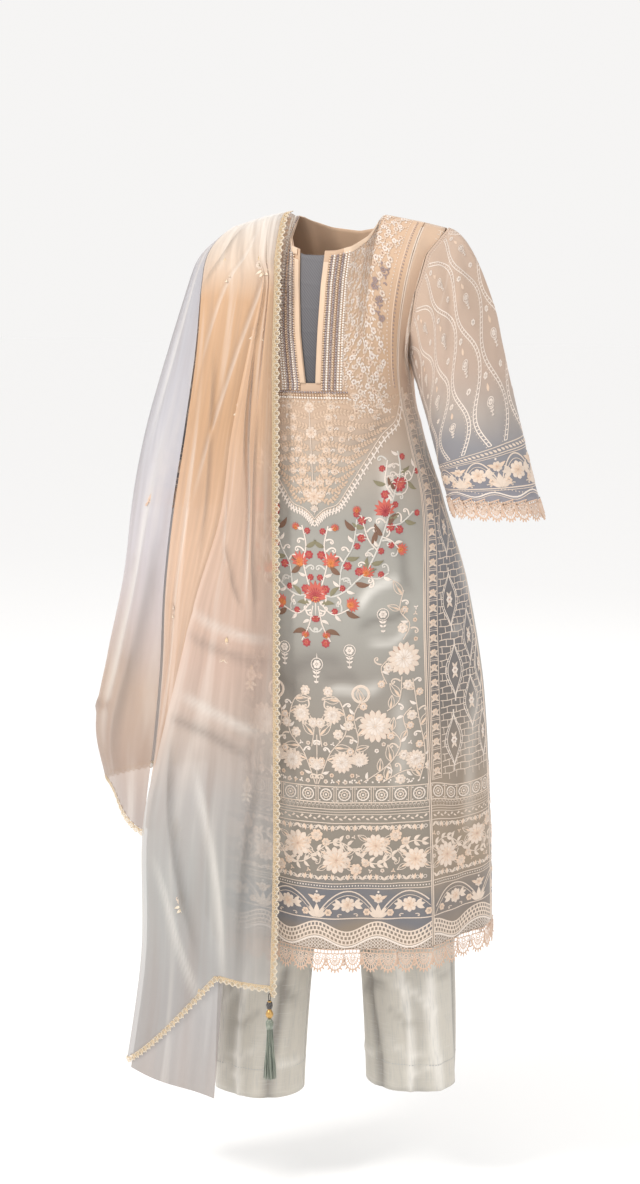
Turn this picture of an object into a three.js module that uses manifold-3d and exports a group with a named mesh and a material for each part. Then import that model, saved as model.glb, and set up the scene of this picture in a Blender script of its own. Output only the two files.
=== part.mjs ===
// A straight kurta, straight trousers and a sheer dupatta, in the hollow form they take when worn.
// Millimetres, +Z up. The wearer faces -Y and the wearer's left is +X.
// The origin lies between the two side-neck points, at the height of the shoulders.
import * as THREE from 'three';
import { mergeVertices } from 'three/addons/utils/BufferGeometryUtils.js';
import Module from 'manifold-3d';

// ---------------------------------------------------------------- driving sizes
const CLOTH = 1.6;          // wall of every cloth piece
const SEAM = 0.3;           // gap between two pieces at a seam
const TRIM_CLOTH = 1.1;     // wall of strips and insert
const LIFT = 0.95;          // how far a strip lies off the panel under it
const HEM_Z = -1078;        // lower edge of the kurta's cloth
const BUST_Z = -250;        // below this the body is an oval, above it the yoke closes to the shoulders
const SIDE_RISE = 18;       // the hem stands this much higher at the side seams than at the centre front
const LACE_DEEP = 42;       // depth of the hem lace
const FAN = 27;             // width of one crochet fan on the hem
const CUFF_Z = -1335;       // lower edge of the trousers
const CROTCH_Z = -650;
const WAIST_Z = -415;

// The kurta's body: an oval at each height. across and deep are half sizes, shift is how far the oval stands
// towards +X, turn is how far it faces away from -Y in degrees, seam is the angle of the front panel's seam.
const BODY = [
  { z: -250, across: 123, deep: 108, shift: -14, turn: -2, seam: 70 },
  { z: -300, across: 131, deep: 112, shift: -12, turn: 0, seam: 69 },
  { z: -400, across: 154, deep: 121, shift: -4, turn: 0, seam: 66 },
  { z: -540, across: 190, deep: 134, shift: 2, turn: 0, seam: 52 },
  { z: -700, across: 213, deep: 144, shift: 7, turn: 0, seam: 46 },
  { z: -900, across: 224, deep: 150, shift: 9, turn: 0, seam: 45 },
  { z: -1125, across: 229, deep: 153, shift: 10, turn: 0, seam: 45 },
];
const YOKE_TURN = -6;       // the shoulders face a little towards the wearer's right
const ARMPIT_SHIFT = -12;   // the armpits stand this far towards the wearer's right of the shoulders
const BACK_FLATTER = 0.92;  // the back half of the oval is this much shallower

// The neck slit: its middle line and half width, from above the neck edge down to its foot.
const SLIT = [
  { z: -30, middle: -20, half: 22 },
  { z: -100, middle: -21, half: 17 },
  { z: -170, middle: -19, half: 13 },
  { z: -243, middle: -14, half: 7 },
];

// Soft flutes that run up from the hem: angle from the centre front (negative is the wearer's right), half
// width in degrees, depth in mm (positive stands out), and the height where the flute has died away.
const FLUTES = [
  { angle: 17, wide: 13, out: -9, top: -620 },
  { angle: 43, wide: 12, out: 12, top: -560 },
  { angle: 66, wide: 13, out: -8, top: -600 },
  { angle: -20, wide: 13, out: -7, top: -640 },
  { angle: -44, wide: 12, out: 10, top: -560 },
  { angle: -68, wide: 13, out: -8, top: -600 },
  { angle: 118, wide: 14, out: -9, top: -560 },
  { angle: 142, wide: 13, out: 10, top: -600 },
  { angle: 180, wide: 16, out: -7, top: -640 },
  { angle: -145, wide: 13, out: 10, top: -580 },
  { angle: -120, wide: 13, out: -8, top: -600 },
];

// The upper edges of the body's pieces. at runs from the centre (0) over the front panel's seam (1) to the
// side seam (2); x, y, z is the edge, and leadX, leadY, leadZ is how the cloth comes up to it.
const FRONT_TOP = [
  { at: 0, x: 0, y: -84, z: -52, leadX: 0, leadY: -9, leadZ: -70 },
  { at: 0.18, x: 26, y: -82, z: -51, leadX: 0, leadY: -9, leadZ: -70 },
  { at: 0.36, x: 46, y: -72, z: -45, leadX: 0, leadY: -12, leadZ: -65 },
  { at: 0.5, x: 60, y: -46, z: -31, leadX: 0, leadY: -28, leadZ: -45 },
  { at: 0.6, x: 68, y: -0.6, z: 0, leadX: 0, leadY: -52, leadZ: -22 },
  { at: 0.8, x: 100, y: -0.6, z: -6, leadX: 3, leadY: -56, leadZ: -22 },
  { at: 1, x: 131, y: -0.6, z: -12, leadX: 4, leadY: -60, leadZ: -26 },
  { at: 1.15, x: 165, y: -0.6, z: -20, leadX: -2, leadY: -52, leadZ: -24 },
  { at: 1.35, x: 150, y: -46, z: -56, leadX: -6, leadY: -12, leadZ: -40 },
  { at: 1.55, x: 142, y: -64, z: -108, leadX: -8, leadY: -4, leadZ: -40 },
  { at: 1.78, x: 134, y: -50, z: -165, leadX: -8, leadY: -2, leadZ: -30 },
  { at: 2, x: 116, y: -0.5, z: -207, leadX: 1, leadY: 0, leadZ: -14 },
];
const BACK_TOP = [
  { at: 0, x: 0, y: 64, z: -22, leadX: 0, leadY: 14, leadZ: -60 },
  { at: 0.25, x: 38, y: 55, z: -17, leadX: 0, leadY: 16, leadZ: -60 },
  { at: 0.45, x: 60, y: 30, z: -8, leadX: 0, leadY: 30, leadZ: -40 },
  { at: 0.55, x: 68, y: 0.6, z: 0, leadX: 0, leadY: 50, leadZ: -18 },
  { at: 0.95, x: 131, y: 0.6, z: -12, leadX: 0, leadY: 56, leadZ: -20 },
  { at: 1.2, x: 165, y: 0.6, z: -20, leadX: -2, leadY: 52, leadZ: -24 },
  { at: 1.4, x: 151, y: 44, z: -74, leadX: -4, leadY: 10, leadZ: -40 },
  { at: 1.7, x: 136, y: 46, z: -150, leadX: -8, leadY: 2, leadZ: -30 },
  { at: 2, x: 116, y: 0.8, z: -207, leadX: 1, leadY: 0, leadZ: -14 },
];

// The dupatta over the wearer's right shoulder: six long folds, each a line down the cloth, as [x, y]. The
// first row is the ridge over the shoulder; from the third row on, a row is level.
const DRAPE = [
  { z: 0, lace: [-88, 8], fold: [-117, 11], mid: [-178, 17], outer: [-189, 22], back: [-178, 29], inner: [-88, 11] },
  { z: 0, lace: [-83, -36], fold: [-112, -33], mid: [-190, -14], outer: [-207, 16], back: [-189, 50], inner: [-86, 58] },
  { z: -60, lace: [-76, -86], fold: [-100, -86], mid: [-193, -54], outer: [-222, 6], back: [-194, 66], inner: [-84, 88] },
  { z: -100, lace: [-70, -106], fold: [-88, -108], mid: [-194, -74], outer: [-238, 2], back: [-204, 66], inner: [-84, 96] },
  { z: -200, lace: [-68, -121], fold: [-106, -122], mid: [-197, -92], outer: [-274, 2], back: [-226, 78], inner: [-88, 110] },
  { z: -320, lace: [-65, -130], fold: [-131, -126], mid: [-214, -97], outer: [-311, 0], back: [-256, 86], inner: [-94, 120] },
  { z: -440, lace: [-62, -140], fold: [-149, -128], mid: [-235, -97], outer: [-336, -4], back: [-282, 90], inner: [-100, 131] },
  { z: -560, lace: [-57, -152], fold: [-188, -128], mid: [-250, -96], outer: [-354, -8], back: [-298, 92], inner: [-108, 142] },
  { z: -680, lace: [-54, -162], fold: [-220, -127], mid: [-257, -95], outer: [-380, -14], back: [-310, 92], inner: [-116, 150] },
  { z: -800, lace: [-52, -168], fold: [-252, -126], mid: [-270, -94], outer: [-400, -20], back: [-322, 92], inner: [-124, 157] },
  { z: -930, lace: [-51, -172], fold: [-282, -124], mid: [-288, -94], outer: [-376, -24], back: [-326, 92], inner: [-130, 162] },
  { z: -1130, lace: [-55, -176], fold: [-289, -120], mid: [-300, -94], outer: [-392, -24], back: [-330, 92], inner: [-134, 166] },
  { z: -1330, lace: [-62, -178], fold: [-322, -114], mid: [-320, -94], outer: [-392, -24], back: [-334, 92], inner: [-138, 168] },
];
// Heights of the first two rows, which follow the slope of the shoulder.
const SHOULDER_ROWS = [
  { lace: 6, fold: 1, mid: -16, outer: -24, back: -16, inner: 6 },
  { lace: -6, fold: -10, mid: -34, outer: -40, back: -34, inner: -8 },
];

// ---------------------------------------------------------------- small tools
const group = new THREE.Group();
const radians = THREE.MathUtils.degToRad;
const lerp = THREE.MathUtils.lerp;
const clamp = THREE.MathUtils.clamp;

function addNode(name, geometry, material) {
  const mesh = new THREE.Mesh(geometry, material);
  mesh.name = name;
  group.add(mesh);
}

function smooth(x) {
  const t = clamp(x, 0, 1);
  return t * t * (3 - 2 * t);
}

// A value between the rows of a table, along a smooth curve through all rows.
function between(a, b, c, d, t) {
  const slopeB = (c - a) / 2;
  const slopeC = (d - b) / 2;
  const t2 = t * t;
  const t3 = t2 * t;
  return (2 * t3 - 3 * t2 + 1) * b + (t3 - 2 * t2 + t) * slopeB + (3 * t2 - 2 * t3) * c + (t3 - t2) * slopeC;
}

// Reads every column of a table whose rows are sorted by one key, at any place between its rows.
function readTable(rows, key, place, straight = false) {
  const down = rows[0][key] > rows[1][key];
  const last = rows.length - 2;
  let i = 0;
  while (i < last && (down ? place < rows[i + 1][key] : place > rows[i + 1][key])) i += 1;
  const t = clamp((place - rows[i][key]) / (rows[i + 1][key] - rows[i][key]), 0, 1);
  const before = rows[Math.max(i - 1, 0)];
  const after = rows[Math.min(i + 2, rows.length - 1)];
  const read = {};
  for (const column of Object.keys(rows[0])) {
    if (straight) read[column] = lerp(rows[i][column], rows[i + 1][column], t);
    else read[column] = between(before[column], rows[i][column], rows[i + 1][column], after[column], t);
  }
  return read;
}

// The unit normal of a surface at (u, v), pointing to the side named by flip.
function normalAt(surface, u, v, step, flip) {
  const alongU = surface(u + step[0], v).sub(surface(u - step[0], v));
  const alongV = surface(u, v + step[1]).sub(surface(u, v - step[1]));
  return alongU.cross(alongV).normalize().multiplyScalar(flip);
}

// A closed wall on a surface. The flat pattern is a list of (u, v) points and triangles; each point is moved
// out along the surface's normal to the wall's two faces, and the pattern's free edges are walled up.
function wall(pattern, surface, { from, to, step, flip }) {
  const positions = [];
  for (const distance of [to, from]) {
    for (const [u, v] of pattern.points) {
      const point = surface(u, v);
      point.addScaledVector(normalAt(surface, u, v, step, flip), distance);
      positions.push(point.x, point.y, point.z);
    }
  }
  const count = pattern.points.length;
  const index = [];
  const edges = new Map();
  for (const [a, b, c] of pattern.triangles) {
    index.push(a, b, c, a + count, c + count, b + count);
    for (const [p, q] of [[a, b], [b, c], [c, a]]) {
      const twin = `${q}_${p}`;
      if (edges.has(twin)) edges.delete(twin);
      else edges.set(`${p}_${q}`, [p, q]);
    }
  }
  for (const [p, q] of edges.values()) {
    index.push(q, p, p + count, q, p + count, q + count);
  }
  const geometry = new THREE.BufferGeometry();
  geometry.setAttribute('position', new THREE.Float32BufferAttribute(positions, 3));
  geometry.setIndex(index);
  return outward(geometry);
}

// Turns a closed mesh inside out when its volume comes out negative.
function outward(geometry) {
  const position = geometry.getAttribute('position');
  const index = geometry.getIndex().array;
  const [a, b, c] = [new THREE.Vector3(), new THREE.Vector3(), new THREE.Vector3()];
  let volume = 0;
  for (let i = 0; i < index.length; i += 3) {
    a.fromBufferAttribute(position, index[i]);
    b.fromBufferAttribute(position, index[i + 1]);
    c.fromBufferAttribute(position, index[i + 2]);
    volume += a.dot(b.cross(c));
  }
  if (volume < 0) {
    for (let i = 0; i < index.length; i += 3) {
      [index[i + 1], index[i + 2]] = [index[i + 2], index[i + 1]];
    }
  }
  geometry.computeVertexNormals();
  return geometry;
}

// A grid pattern from a list of columns and a list of rows; place(column, row) gives (u, v).
function grid(columns, rows, place = (u, v) => [u, v]) {
  const points = [];
  const triangles = [];
  for (const u of columns) {
    for (const v of rows) points.push(place(u, v));
  }
  const high = rows.length;
  for (let i = 0; i + 1 < columns.length; i += 1) {
    for (let j = 0; j + 1 < high; j += 1) {
      const a = i * high + j;
      triangles.push([a, a + high, a + high + 1], [a, a + high + 1, a + 1]);
    }
  }
  return { points, triangles };
}

function steps(first, last, count) {
  return Array.from({ length: count + 1 }, (_, i) => lerp(first, last, i / count));
}

// ---------------------------------------------------------------- booleans
const manifoldLibrary = await Module();
manifoldLibrary.setup();

function toSolid(geometry) {
  const bare = geometry.clone();
  bare.deleteAttribute('normal');
  bare.deleteAttribute('uv');
  const merged = bare.index ? mergeVertices(bare, 1e-4) : mergeVertices(bare);
  return new manifoldLibrary.Manifold(new manifoldLibrary.Mesh({
    numProp: 3,
    vertProperties: new Float32Array(merged.getAttribute('position').array),
    triVerts: new Uint32Array(merged.getIndex().array),
  }));
}

function toGeometry(solid) {
  const mesh = solid.getMesh();
  const geometry = new THREE.BufferGeometry();
  geometry.setAttribute('position', new THREE.BufferAttribute(new Float32Array(mesh.vertProperties), 3));
  geometry.setIndex(new THREE.BufferAttribute(new Uint32Array(mesh.triVerts), 1));
  geometry.computeVertexNormals();
  return geometry;
}

// ---------------------------------------------------------------- finishes
function cloth(color, roughness = 0.85) {
  return new THREE.MeshStandardMaterial({ color, roughness, metalness: 0, side: THREE.DoubleSide });
}
const lawnCloth = cloth('#c3bba6');
const sideCloth = cloth('#9aa1a3');
const organza = cloth('#c7b9b0');
const crochet = cloth('#e8d5c6');
const insertCloth = cloth('#5f6468');
const trouserCloth = cloth('#cfd2d0');
const sheer = cloth('#dccbc6', 0.6);
const goldLace = cloth('#ead9b0');
const goldMetal = new THREE.MeshStandardMaterial({ color: '#c79a4a', roughness: 0.3, metalness: 0.9 });
const tasselThread = cloth('#7d9186', 0.7);

// ---------------------------------------------------------------- the kurta's body
function fluteDepth(angle, z) {
  let out = 0;
  for (const flute of FLUTES) {
    let away = Math.abs(angle - flute.angle);
    if (away > 180) away = 360 - away;
    const share = smooth(1 - away / flute.wide) * smooth((flute.top - z) / (flute.top - HEM_Z));
    out += flute.out * share;
  }
  return out;
}

// A point on the body below the bust: angle in degrees from the centre front, and height.
function ovalPoint(angle, z) {
  const row = readTable(BODY, 'z', z);
  const a = radians(angle);
  const backwards = Math.abs(angle) > 90 ? BACK_FLATTER : 1;
  const out = fluteDepth(angle, z);
  const x = (row.across + out) * Math.sin(a);
  const y = -(row.deep + out) * Math.cos(a) * backwards;
  const point = new THREE.Vector3(x, y, 0);
  point.applyAxisAngle(new THREE.Vector3(0, 0, 1), radians(row.turn));
  point.x += row.shift;
  point.z = z + SIDE_RISE * Math.sin(a) ** 2 * smooth((BUST_Z - z) / (BUST_Z - HEM_Z));
  return point;
}

// A point on the upper edge; side is +1 for the wearer's left.
function topEdge(table, at, side) {
  const row = readTable(table, 'at', at, true);
  const edge = new THREE.Vector3(row.x * side, row.y, row.z);
  const lead = new THREE.Vector3(row.leadX * side, row.leadY, row.leadZ);
  const upright = new THREE.Vector3(0, 0, 1);
  edge.applyAxisAngle(upright, radians(YOKE_TURN));
  lead.applyAxisAngle(upright, radians(YOKE_TURN));
  edge.x += ARMPIT_SHIFT * Math.max(at - 1.5, 0) / 0.5;
  return { edge, lead };
}

// The body at (at, v): at is 0 on the centre line, 1 on the front panel's seam and 2 on the side seam, signed
// for the side; v is the height below the bust, and 0 to 1 from the bust up to the piece's upper edge.
function bodyPoint(at, v, isBack) {
  const side = at < 0 ? -1 : 1;
  const place = Math.abs(at);
  const z = v > 0 ? BUST_Z : v + BUST_Z;
  const seam = readTable(BODY, 'z', z).seam;
  let angle = place < 1 ? seam * place : lerp(seam, 90, place - 1);
  if (isBack) angle = 180 - 45 * place;
  const base = ovalPoint(angle * side, z);
  if (v <= 0) return base;
  const { edge, lead } = topEdge(isBack ? BACK_TOP : FRONT_TOP, place, side);
  const slope = base.clone().sub(ovalPoint(angle * side, BUST_Z - 20)).multiplyScalar(1 / 20);
  const rise = (edge.z - BUST_Z) * 0.36;
  const curve = new THREE.CubicBezierCurve3(
    base, base.clone().addScaledVector(slope, rise), edge.clone().add(lead), edge,
  );
  return curve.getPoint(v);
}

const frontSurface = (at, v) => bodyPoint(at, v, false);
const backSurface = (at, v) => bodyPoint(at, v, true);
const FACE = { from: -CLOTH / 2, to: CLOTH / 2, step: [0.01, 0.02], flip: 1 };
const below = (z) => z - BUST_Z;
const LOWER_ROWS = [HEM_Z, -980, -880, -780, -690, -610, -530, -450, -370, -300, BUST_Z].map(below);
const UPPER_ROWS = [0.25, 0.5, 0.75, 0.92, 1];
const BODY_ROWS = [...LOWER_ROWS, ...UPPER_ROWS];
const HALF_SEAM = 0.0012;             // half a seam's gap, as a share of half the front panel
const NARROW_SEAM = 0.005;            // the same, as a share of a side panel at its narrowest

// Front panel, with the slit cut through it.
const halfFront = [0.09, 0.18, 0.27, 0.36, 0.5, 0.6, 0.8, 1 - HALF_SEAM];
const frontColumns = [...halfFront.map((at) => -at).reverse(), 0, ...halfFront];
const slitAt = (z) => readTable(SLIT, 'z', z, true);
const slitShape = new THREE.Shape([
  ...SLIT.map((row) => new THREE.Vector2(row.middle - row.half, row.z)),
  ...SLIT.map((row) => new THREE.Vector2(row.middle + row.half, row.z)).reverse(),
]);
const SLIT_REACH = 120;             // the slit is cut from this far in front of the origin plane...
const SLIT_START = -30;             // ...to this far, so the back panel stays whole
const slitTool = new THREE.ExtrudeGeometry(slitShape, { depth: SLIT_REACH, bevelEnabled: false });
slitTool.rotateX(Math.PI / 2);
slitTool.translate(0, SLIT_START, 0);
const frontWall = wall(grid(frontColumns, BODY_ROWS), frontSurface, FACE);
addNode('front_panel', toGeometry(toSolid(frontWall).subtract(toSolid(slitTool))), lawnCloth);

// Finds the place on the front panel that lies x mm from the slit's middle, at a height in the yoke.
function acrossAt(x, v) {
  let low = -1;
  let high = 1;
  const goal = slitAt(frontSurface(0, v).z).middle + x;
  for (let i = 0; i < 30; i += 1) {
    const middle = (low + high) / 2;
    if (frontSurface(middle, v).x < goal) low = middle;
    else high = middle;
  }
  return (low + high) / 2;
}

// Insert behind the slit.
const insertRows = [-35, 0, 0.25, 0.5, 0.75, 0.92, 0.97];
const behind = { ...FACE, from: -CLOTH / 2 - LIFT - TRIM_CLOTH, to: -CLOTH / 2 - LIFT };
const insertPattern = grid([-30, -15, 0, 15, 30], insertRows, (x, v) => [acrossAt(x, v), v]);
addNode('slit_insert', wall(insertPattern, frontSurface, behind), insertCloth);

// Narrow strip turned out along both edges of the slit, and across its foot.
const STRIP_WIDE = 9;
const proud = { ...FACE, from: CLOTH / 2 + LIFT, to: CLOTH / 2 + LIFT + TRIM_CLOTH };
const stripRows = [0.04, 0.25, 0.5, 0.75, 0.92];
for (const [name, side] of [['slit_strip_left', 1], ['slit_strip_right', -1]]) {
  const pattern = grid([0.6, STRIP_WIDE], stripRows, (wide, v) => {
    const { half } = slitAt(frontSurface(0, v).z);
    return [acrossAt(side * (half + wide), v), v];
  });
  addNode(name, wall(pattern, frontSurface, proud), lawnCloth);
}

const NECK_STRIP_WIDE = 10;
const NECK_INSET = 0.8;               // the strip starts this far inside the neck edge
// Beaded strip along the front neck edge, a piece on each side of the slit, and one along the back.
const lengthUp = (surface, at) => surface(at, 1).distanceTo(surface(at, 0.8)) / 0.2;
function neckStrip(surface, columns) {
  return grid(columns, [0, 1], (at, low) => {
    const mm = low ? NECK_STRIP_WIDE : NECK_INSET;
    return [at, 1 - mm / lengthUp(surface, at)];
  });
}
const neckColumns = [0.27, 0.36, 0.5, 0.57];
const neckOut = { ...proud, from: proud.from + SEAM, to: proud.to + SEAM };
addNode('neck_strip_left', wall(neckStrip(frontSurface, neckColumns), frontSurface, neckOut), lawnCloth);
const otherSide = neckColumns.map((at) => -at);
addNode('neck_strip_right', wall(neckStrip(frontSurface, otherSide), frontSurface, neckOut), lawnCloth);
const backNeck = [-0.52, -0.45, -0.25, 0, 0.25, 0.45, 0.52];
const backOut = { from: neckOut.from + SEAM, to: neckOut.to + SEAM, step: FACE.step, flip: -1 };
addNode('neck_strip_back', wall(neckStrip(backSurface, backNeck), backSurface, backOut), lawnCloth);

// Side panels, from the front panel's seam to the side seam and the armhole.
const sideColumns = [1 + NARROW_SEAM, 1.15, 1.35, 1.55, 1.78, 2 - NARROW_SEAM];
for (const [name, side] of [['side_panel_left', 1], ['side_panel_right', -1]]) {
  const pattern = grid(sideColumns.map((at) => at * side), BODY_ROWS);
  addNode(name, wall(pattern, frontSurface, FACE), sideCloth);
}

// Back panel.
const halfBack = [0.25, 0.45, 0.55, 0.75, 0.95, 1.2, 1.4, 1.7, 2 - HALF_SEAM * 2];
const backColumns = [...halfBack.map((at) => -at).reverse(), 0, ...halfBack];
addNode('back_panel', wall(grid(backColumns, BODY_ROWS), backSurface, { ...FACE, flip: -1 }), lawnCloth);

// ---------------------------------------------------------------- crochet lace
// One fan of a lace edge: a strip as wide as the repeat, with a scalloped foot and one open gap between fans.
function lacePattern(start, repeat, count, deep) {
  const points = [];
  const triangles = [];
  const keys = new Map();
  const pointAt = (u, v) => {
    const key = `${((u - start) / repeat).toFixed(2)}_${(v / deep).toFixed(2)}`;
    if (!keys.has(key)) {
      keys.set(key, points.length);
      points.push([u, v]);
    }
    return keys.get(key);
  };
  for (let i = 0; i < count; i += 1) {
    const left = start + i * repeat;
    const outline = [[0, 0], [0, 0.78], [0.2, 0.93], [0.5, 1], [0.8, 0.93], [1, 0.78], [1, 0]];
    const gap = [[0.5, 0.3], [0.36, 0.5], [0.5, 0.68], [0.64, 0.5]];
    const shape = new THREE.Shape(outline.map(([x, y]) => new THREE.Vector2(left + x * repeat, -y * deep)));
    shape.holes.push(new THREE.Path(gap.map(([x, y]) => new THREE.Vector2(left + x * repeat, -y * deep))));
    const flat = new THREE.ShapeGeometry(shape);
    const position = flat.getAttribute('position');
    const index = flat.getIndex().array;
    for (let k = 0; k < index.length; k += 3) {
      const corners = [0, 1, 2].map((n) => pointAt(position.getX(index[k + n]), position.getY(index[k + n])));
      triangles.push(corners);
    }
  }
  return { points, triangles };
}

// Arc length round the hem, so that a fan keeps its width all the way.
const HEM_STEPS = 360;
const hemLengths = [0];
for (let i = 1; i <= HEM_STEPS; i += 1) {
  const here = ovalPoint(-90 + (i * 360) / HEM_STEPS, HEM_Z);
  const before = ovalPoint(-90 + ((i - 1) * 360) / HEM_STEPS, HEM_Z);
  hemLengths.push(hemLengths[i - 1] + here.distanceTo(before));
}
function hemAngle(length) {
  let i = 0;
  while (i < HEM_STEPS - 1 && hemLengths[i + 1] < length) i += 1;
  const t = (length - hemLengths[i]) / (hemLengths[i + 1] - hemLengths[i]);
  return -90 + ((i + t) * 360) / HEM_STEPS;
}
function hemSurface(length, drop) {
  const angle = hemAngle(length);
  return ovalPoint(angle > 180 ? angle - 360 : angle, HEM_Z - SEAM + drop);
}
const LACE_WALL = { from: -CLOTH / 2, to: CLOTH / 2, step: [1, 1], flip: 1 };
const frontLength = hemLengths[HEM_STEPS / 2];
const backLength = hemLengths[HEM_STEPS] - frontLength;
const HEM_HALVES = [
  { name: 'hem_lace_front', from: 0, length: frontLength },
  { name: 'hem_lace_back', from: frontLength, length: backLength },
];
for (const { name, from, length } of HEM_HALVES) {
  const count = Math.round(length / FAN);
  const repeat = (length - SEAM) / count;
  addNode(name, wall(lacePattern(from + SEAM / 2, repeat, count, LACE_DEEP), hemSurface, LACE_WALL), crochet);
}

// ---------------------------------------------------------------- sleeves
// The open ends of the two sleeves: the middle of the cuff and its half sizes, in each sleeve's own side.
const SLEEVES = [
  { name: 'left', side: 1, x: 239, y: -24, z: -408, across: 68, deep: 46 },
  { name: 'right', side: -1, x: 246, y: -12, z: -408, across: 57, deep: 58 },
];
const SLEEVE_LACE = 36;
const SLEEVE_FANS = 16;

// Round the armhole: 0 at the shoulder point, a quarter at the front, a half at the armpit.
function armhole(share, side) {
  const front = share <= 0.5;
  const along = front ? share / 0.5 : (1 - share) / 0.5;
  const table = front ? FRONT_TOP : BACK_TOP;
  const shoulderAt = front ? 1.15 : 1.2;
  const { edge } = topEdge(table, lerp(shoulderAt, 2, along), side);
  const clear = CLOTH / 2 + SEAM + 0.9;
  edge.x += side * clear;
  edge.y *= 1 + 0.06 * Math.sin(Math.PI * along);
  if (along < 0.2) edge.z += 1.2 * (1 - along / 0.2);
  return edge;
}

function sleeveSurface(sleeve) {
  const down = new THREE.Vector3(0.3 * sleeve.side, -0.04, -0.95).normalize();
  return (share, v) => {
    const turn = share - Math.floor(share);
    const angle = turn * 2 * Math.PI;
    const start = armhole(turn, sleeve.side);
    const outer = (1 + Math.cos(angle)) / 2;
    const end = new THREE.Vector3(
      sleeve.side * (sleeve.x + sleeve.across * Math.cos(angle)),
      sleeve.y - sleeve.deep * Math.sin(angle),
      sleeve.z,
    );
    if (v > 1) return end.addScaledVector(down, v - 1);
    const reach = start.distanceTo(end);
    const leave = new THREE.Vector3(sleeve.side * lerp(0.34, 0.97, outer), 0, lerp(-0.94, -0.24, outer));
    const curve = new THREE.CubicBezierCurve3(
      start,
      start.clone().addScaledVector(leave, reach * lerp(0.3, 0.16, outer)),
      end.clone().addScaledVector(down, -reach * 0.4),
      end,
    );
    return curve.getPoint(v);
  };
}

// A sleeve or a cuff is one sheet closed round the arm: its two long edges are merged before it is walled.
function tube(pattern, period) {
  const keys = new Map();
  const points = [];
  const renumber = pattern.points.map(([u, v]) => {
    const turn = ((u % period) + period) % period;
    const wrapped = period - turn < 1e-6 * period ? 0 : turn;
    const key = `${wrapped.toFixed(5)}_${v.toFixed(4)}`;
    if (!keys.has(key)) {
      keys.set(key, points.length);
      points.push([wrapped, v]);
    }
    return keys.get(key);
  });
  return { points, triangles: pattern.triangles.map((corners) => corners.map((n) => renumber[n])) };
}

for (const sleeve of SLEEVES) {
  const surface = sleeveSurface(sleeve);
  const face = { from: -CLOTH / 2, to: CLOTH / 2, step: [0.005, 0.02], flip: -sleeve.side };
  const pattern = tube(grid(steps(0, 1, 20), [0, 0.1, 0.2, 0.32, 0.45, 0.6, 0.75, 0.9, 1]), 1);
  addNode(`sleeve_${sleeve.name}`, wall(pattern, surface, face), organza);
  // The cuff's lace, in an outer and an inner half.
  for (const [half, from] of [['outer', -0.25], ['inner', 0.25]]) {
    const lace = lacePattern(from + 0.0004, (0.5 - 0.0008) / (SLEEVE_FANS / 2), SLEEVE_FANS / 2, SLEEVE_LACE);
    const placed = { points: lace.points.map(([u, v]) => [u, 1 + SEAM - v]), triangles: lace.triangles };
    const laceFace = { ...face, step: [0.005, 0.3] };
    addNode(`sleeve_lace_${sleeve.name}_${half}`, wall(placed, surface, laceFace), crochet);
  }
}

// ---------------------------------------------------------------- trousers
// Each leg: the oval at the cuff and at the knee, with its middle, and the half oval of the hips above.
const LEGS = [
  { name: 'right', side: -1, cuffX: -118, cuffY: -50, longer: 12 },
  { name: 'left', side: 1, cuffX: 110, cuffY: 18, longer: 0 },
];
const CUFF_HALF = { across: 71, deep: 61 };
const HIP = { waistAcross: 118, across: 146, deep: 96, back: -4 };
const KNEE = { middleX: 84, across: 80, deep: 84 };
function legSurface(leg) {
  return (share, z) => {
    // share runs from the centre front seam (0) round the outside to the centre back seam (1)
    const angle = radians(lerp(0, 180, share));
    const hipAcross = lerp(HIP.waistAcross, HIP.across, smooth((WAIST_Z - z) / (WAIST_Z - CROTCH_Z)));
    const hip = new THREE.Vector3(
      leg.side * (hipAcross * Math.sin(angle) + SEAM * 2),
      -HIP.deep * Math.cos(angle) + HIP.back,
      z,
    );
    const full = radians(lerp(-90, 270, share) + (share - 0.5) * -0.6);
    const fall = clamp((CROTCH_Z - z) / (CROTCH_Z - CUFF_Z), 0, 1);
    const middleX = lerp(leg.side * KNEE.middleX, leg.cuffX, smooth(fall));
    const middleY = lerp(HIP.back, leg.cuffY, fall);
    const across = lerp(KNEE.across, CUFF_HALF.across, fall);
    const deep = lerp(KNEE.deep, CUFF_HALF.deep, fall);
    const crease = 5 * smooth(fall * 2) * Math.exp(-(((share - 0.3) / 0.05) ** 2));
    const legPoint = new THREE.Vector3(
      middleX + leg.side * (across - crease) * Math.sin(full),
      middleY - (deep - crease) * Math.cos(full),
      z - leg.longer * fall,
    );
    return hip.lerp(legPoint, smooth((CROTCH_Z + 90 - z) / 110));
  };
}
for (const leg of LEGS) {
  const rows = [CUFF_Z, -1200, -1050, -900, -780, -700, -650, -610, -570, -500, WAIST_Z];
  const face = { from: -CLOTH / 2, to: CLOTH / 2, step: [0.003, 1], flip: leg.side };
  const pattern = grid(steps(0, 1, 16), rows);
  addNode(`trouser_leg_${leg.name}`, wall(pattern, legSurface(leg), face), trouserCloth);
}
const WAISTBAND_DEEP = 35;
const waistSurface = (share, z) => {
  const angle = share * 2 * Math.PI;
  const across = HIP.waistAcross + SEAM * 2;
  return new THREE.Vector3(across * Math.sin(angle), HIP.back - HIP.deep * Math.cos(angle), z);
};
const bandPattern = tube(grid(steps(0, 1, 28), [WAIST_Z + SEAM, WAIST_Z + WAISTBAND_DEEP]), 1);
const BAND_WALL = 2.4;                // two layers of cloth
const bandFace = { from: -BAND_WALL / 2, to: BAND_WALL / 2, step: [0.005, 1], flip: 1 };
addNode('waistband', wall(bandPattern, waistSurface, bandFace), trouserCloth);

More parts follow.
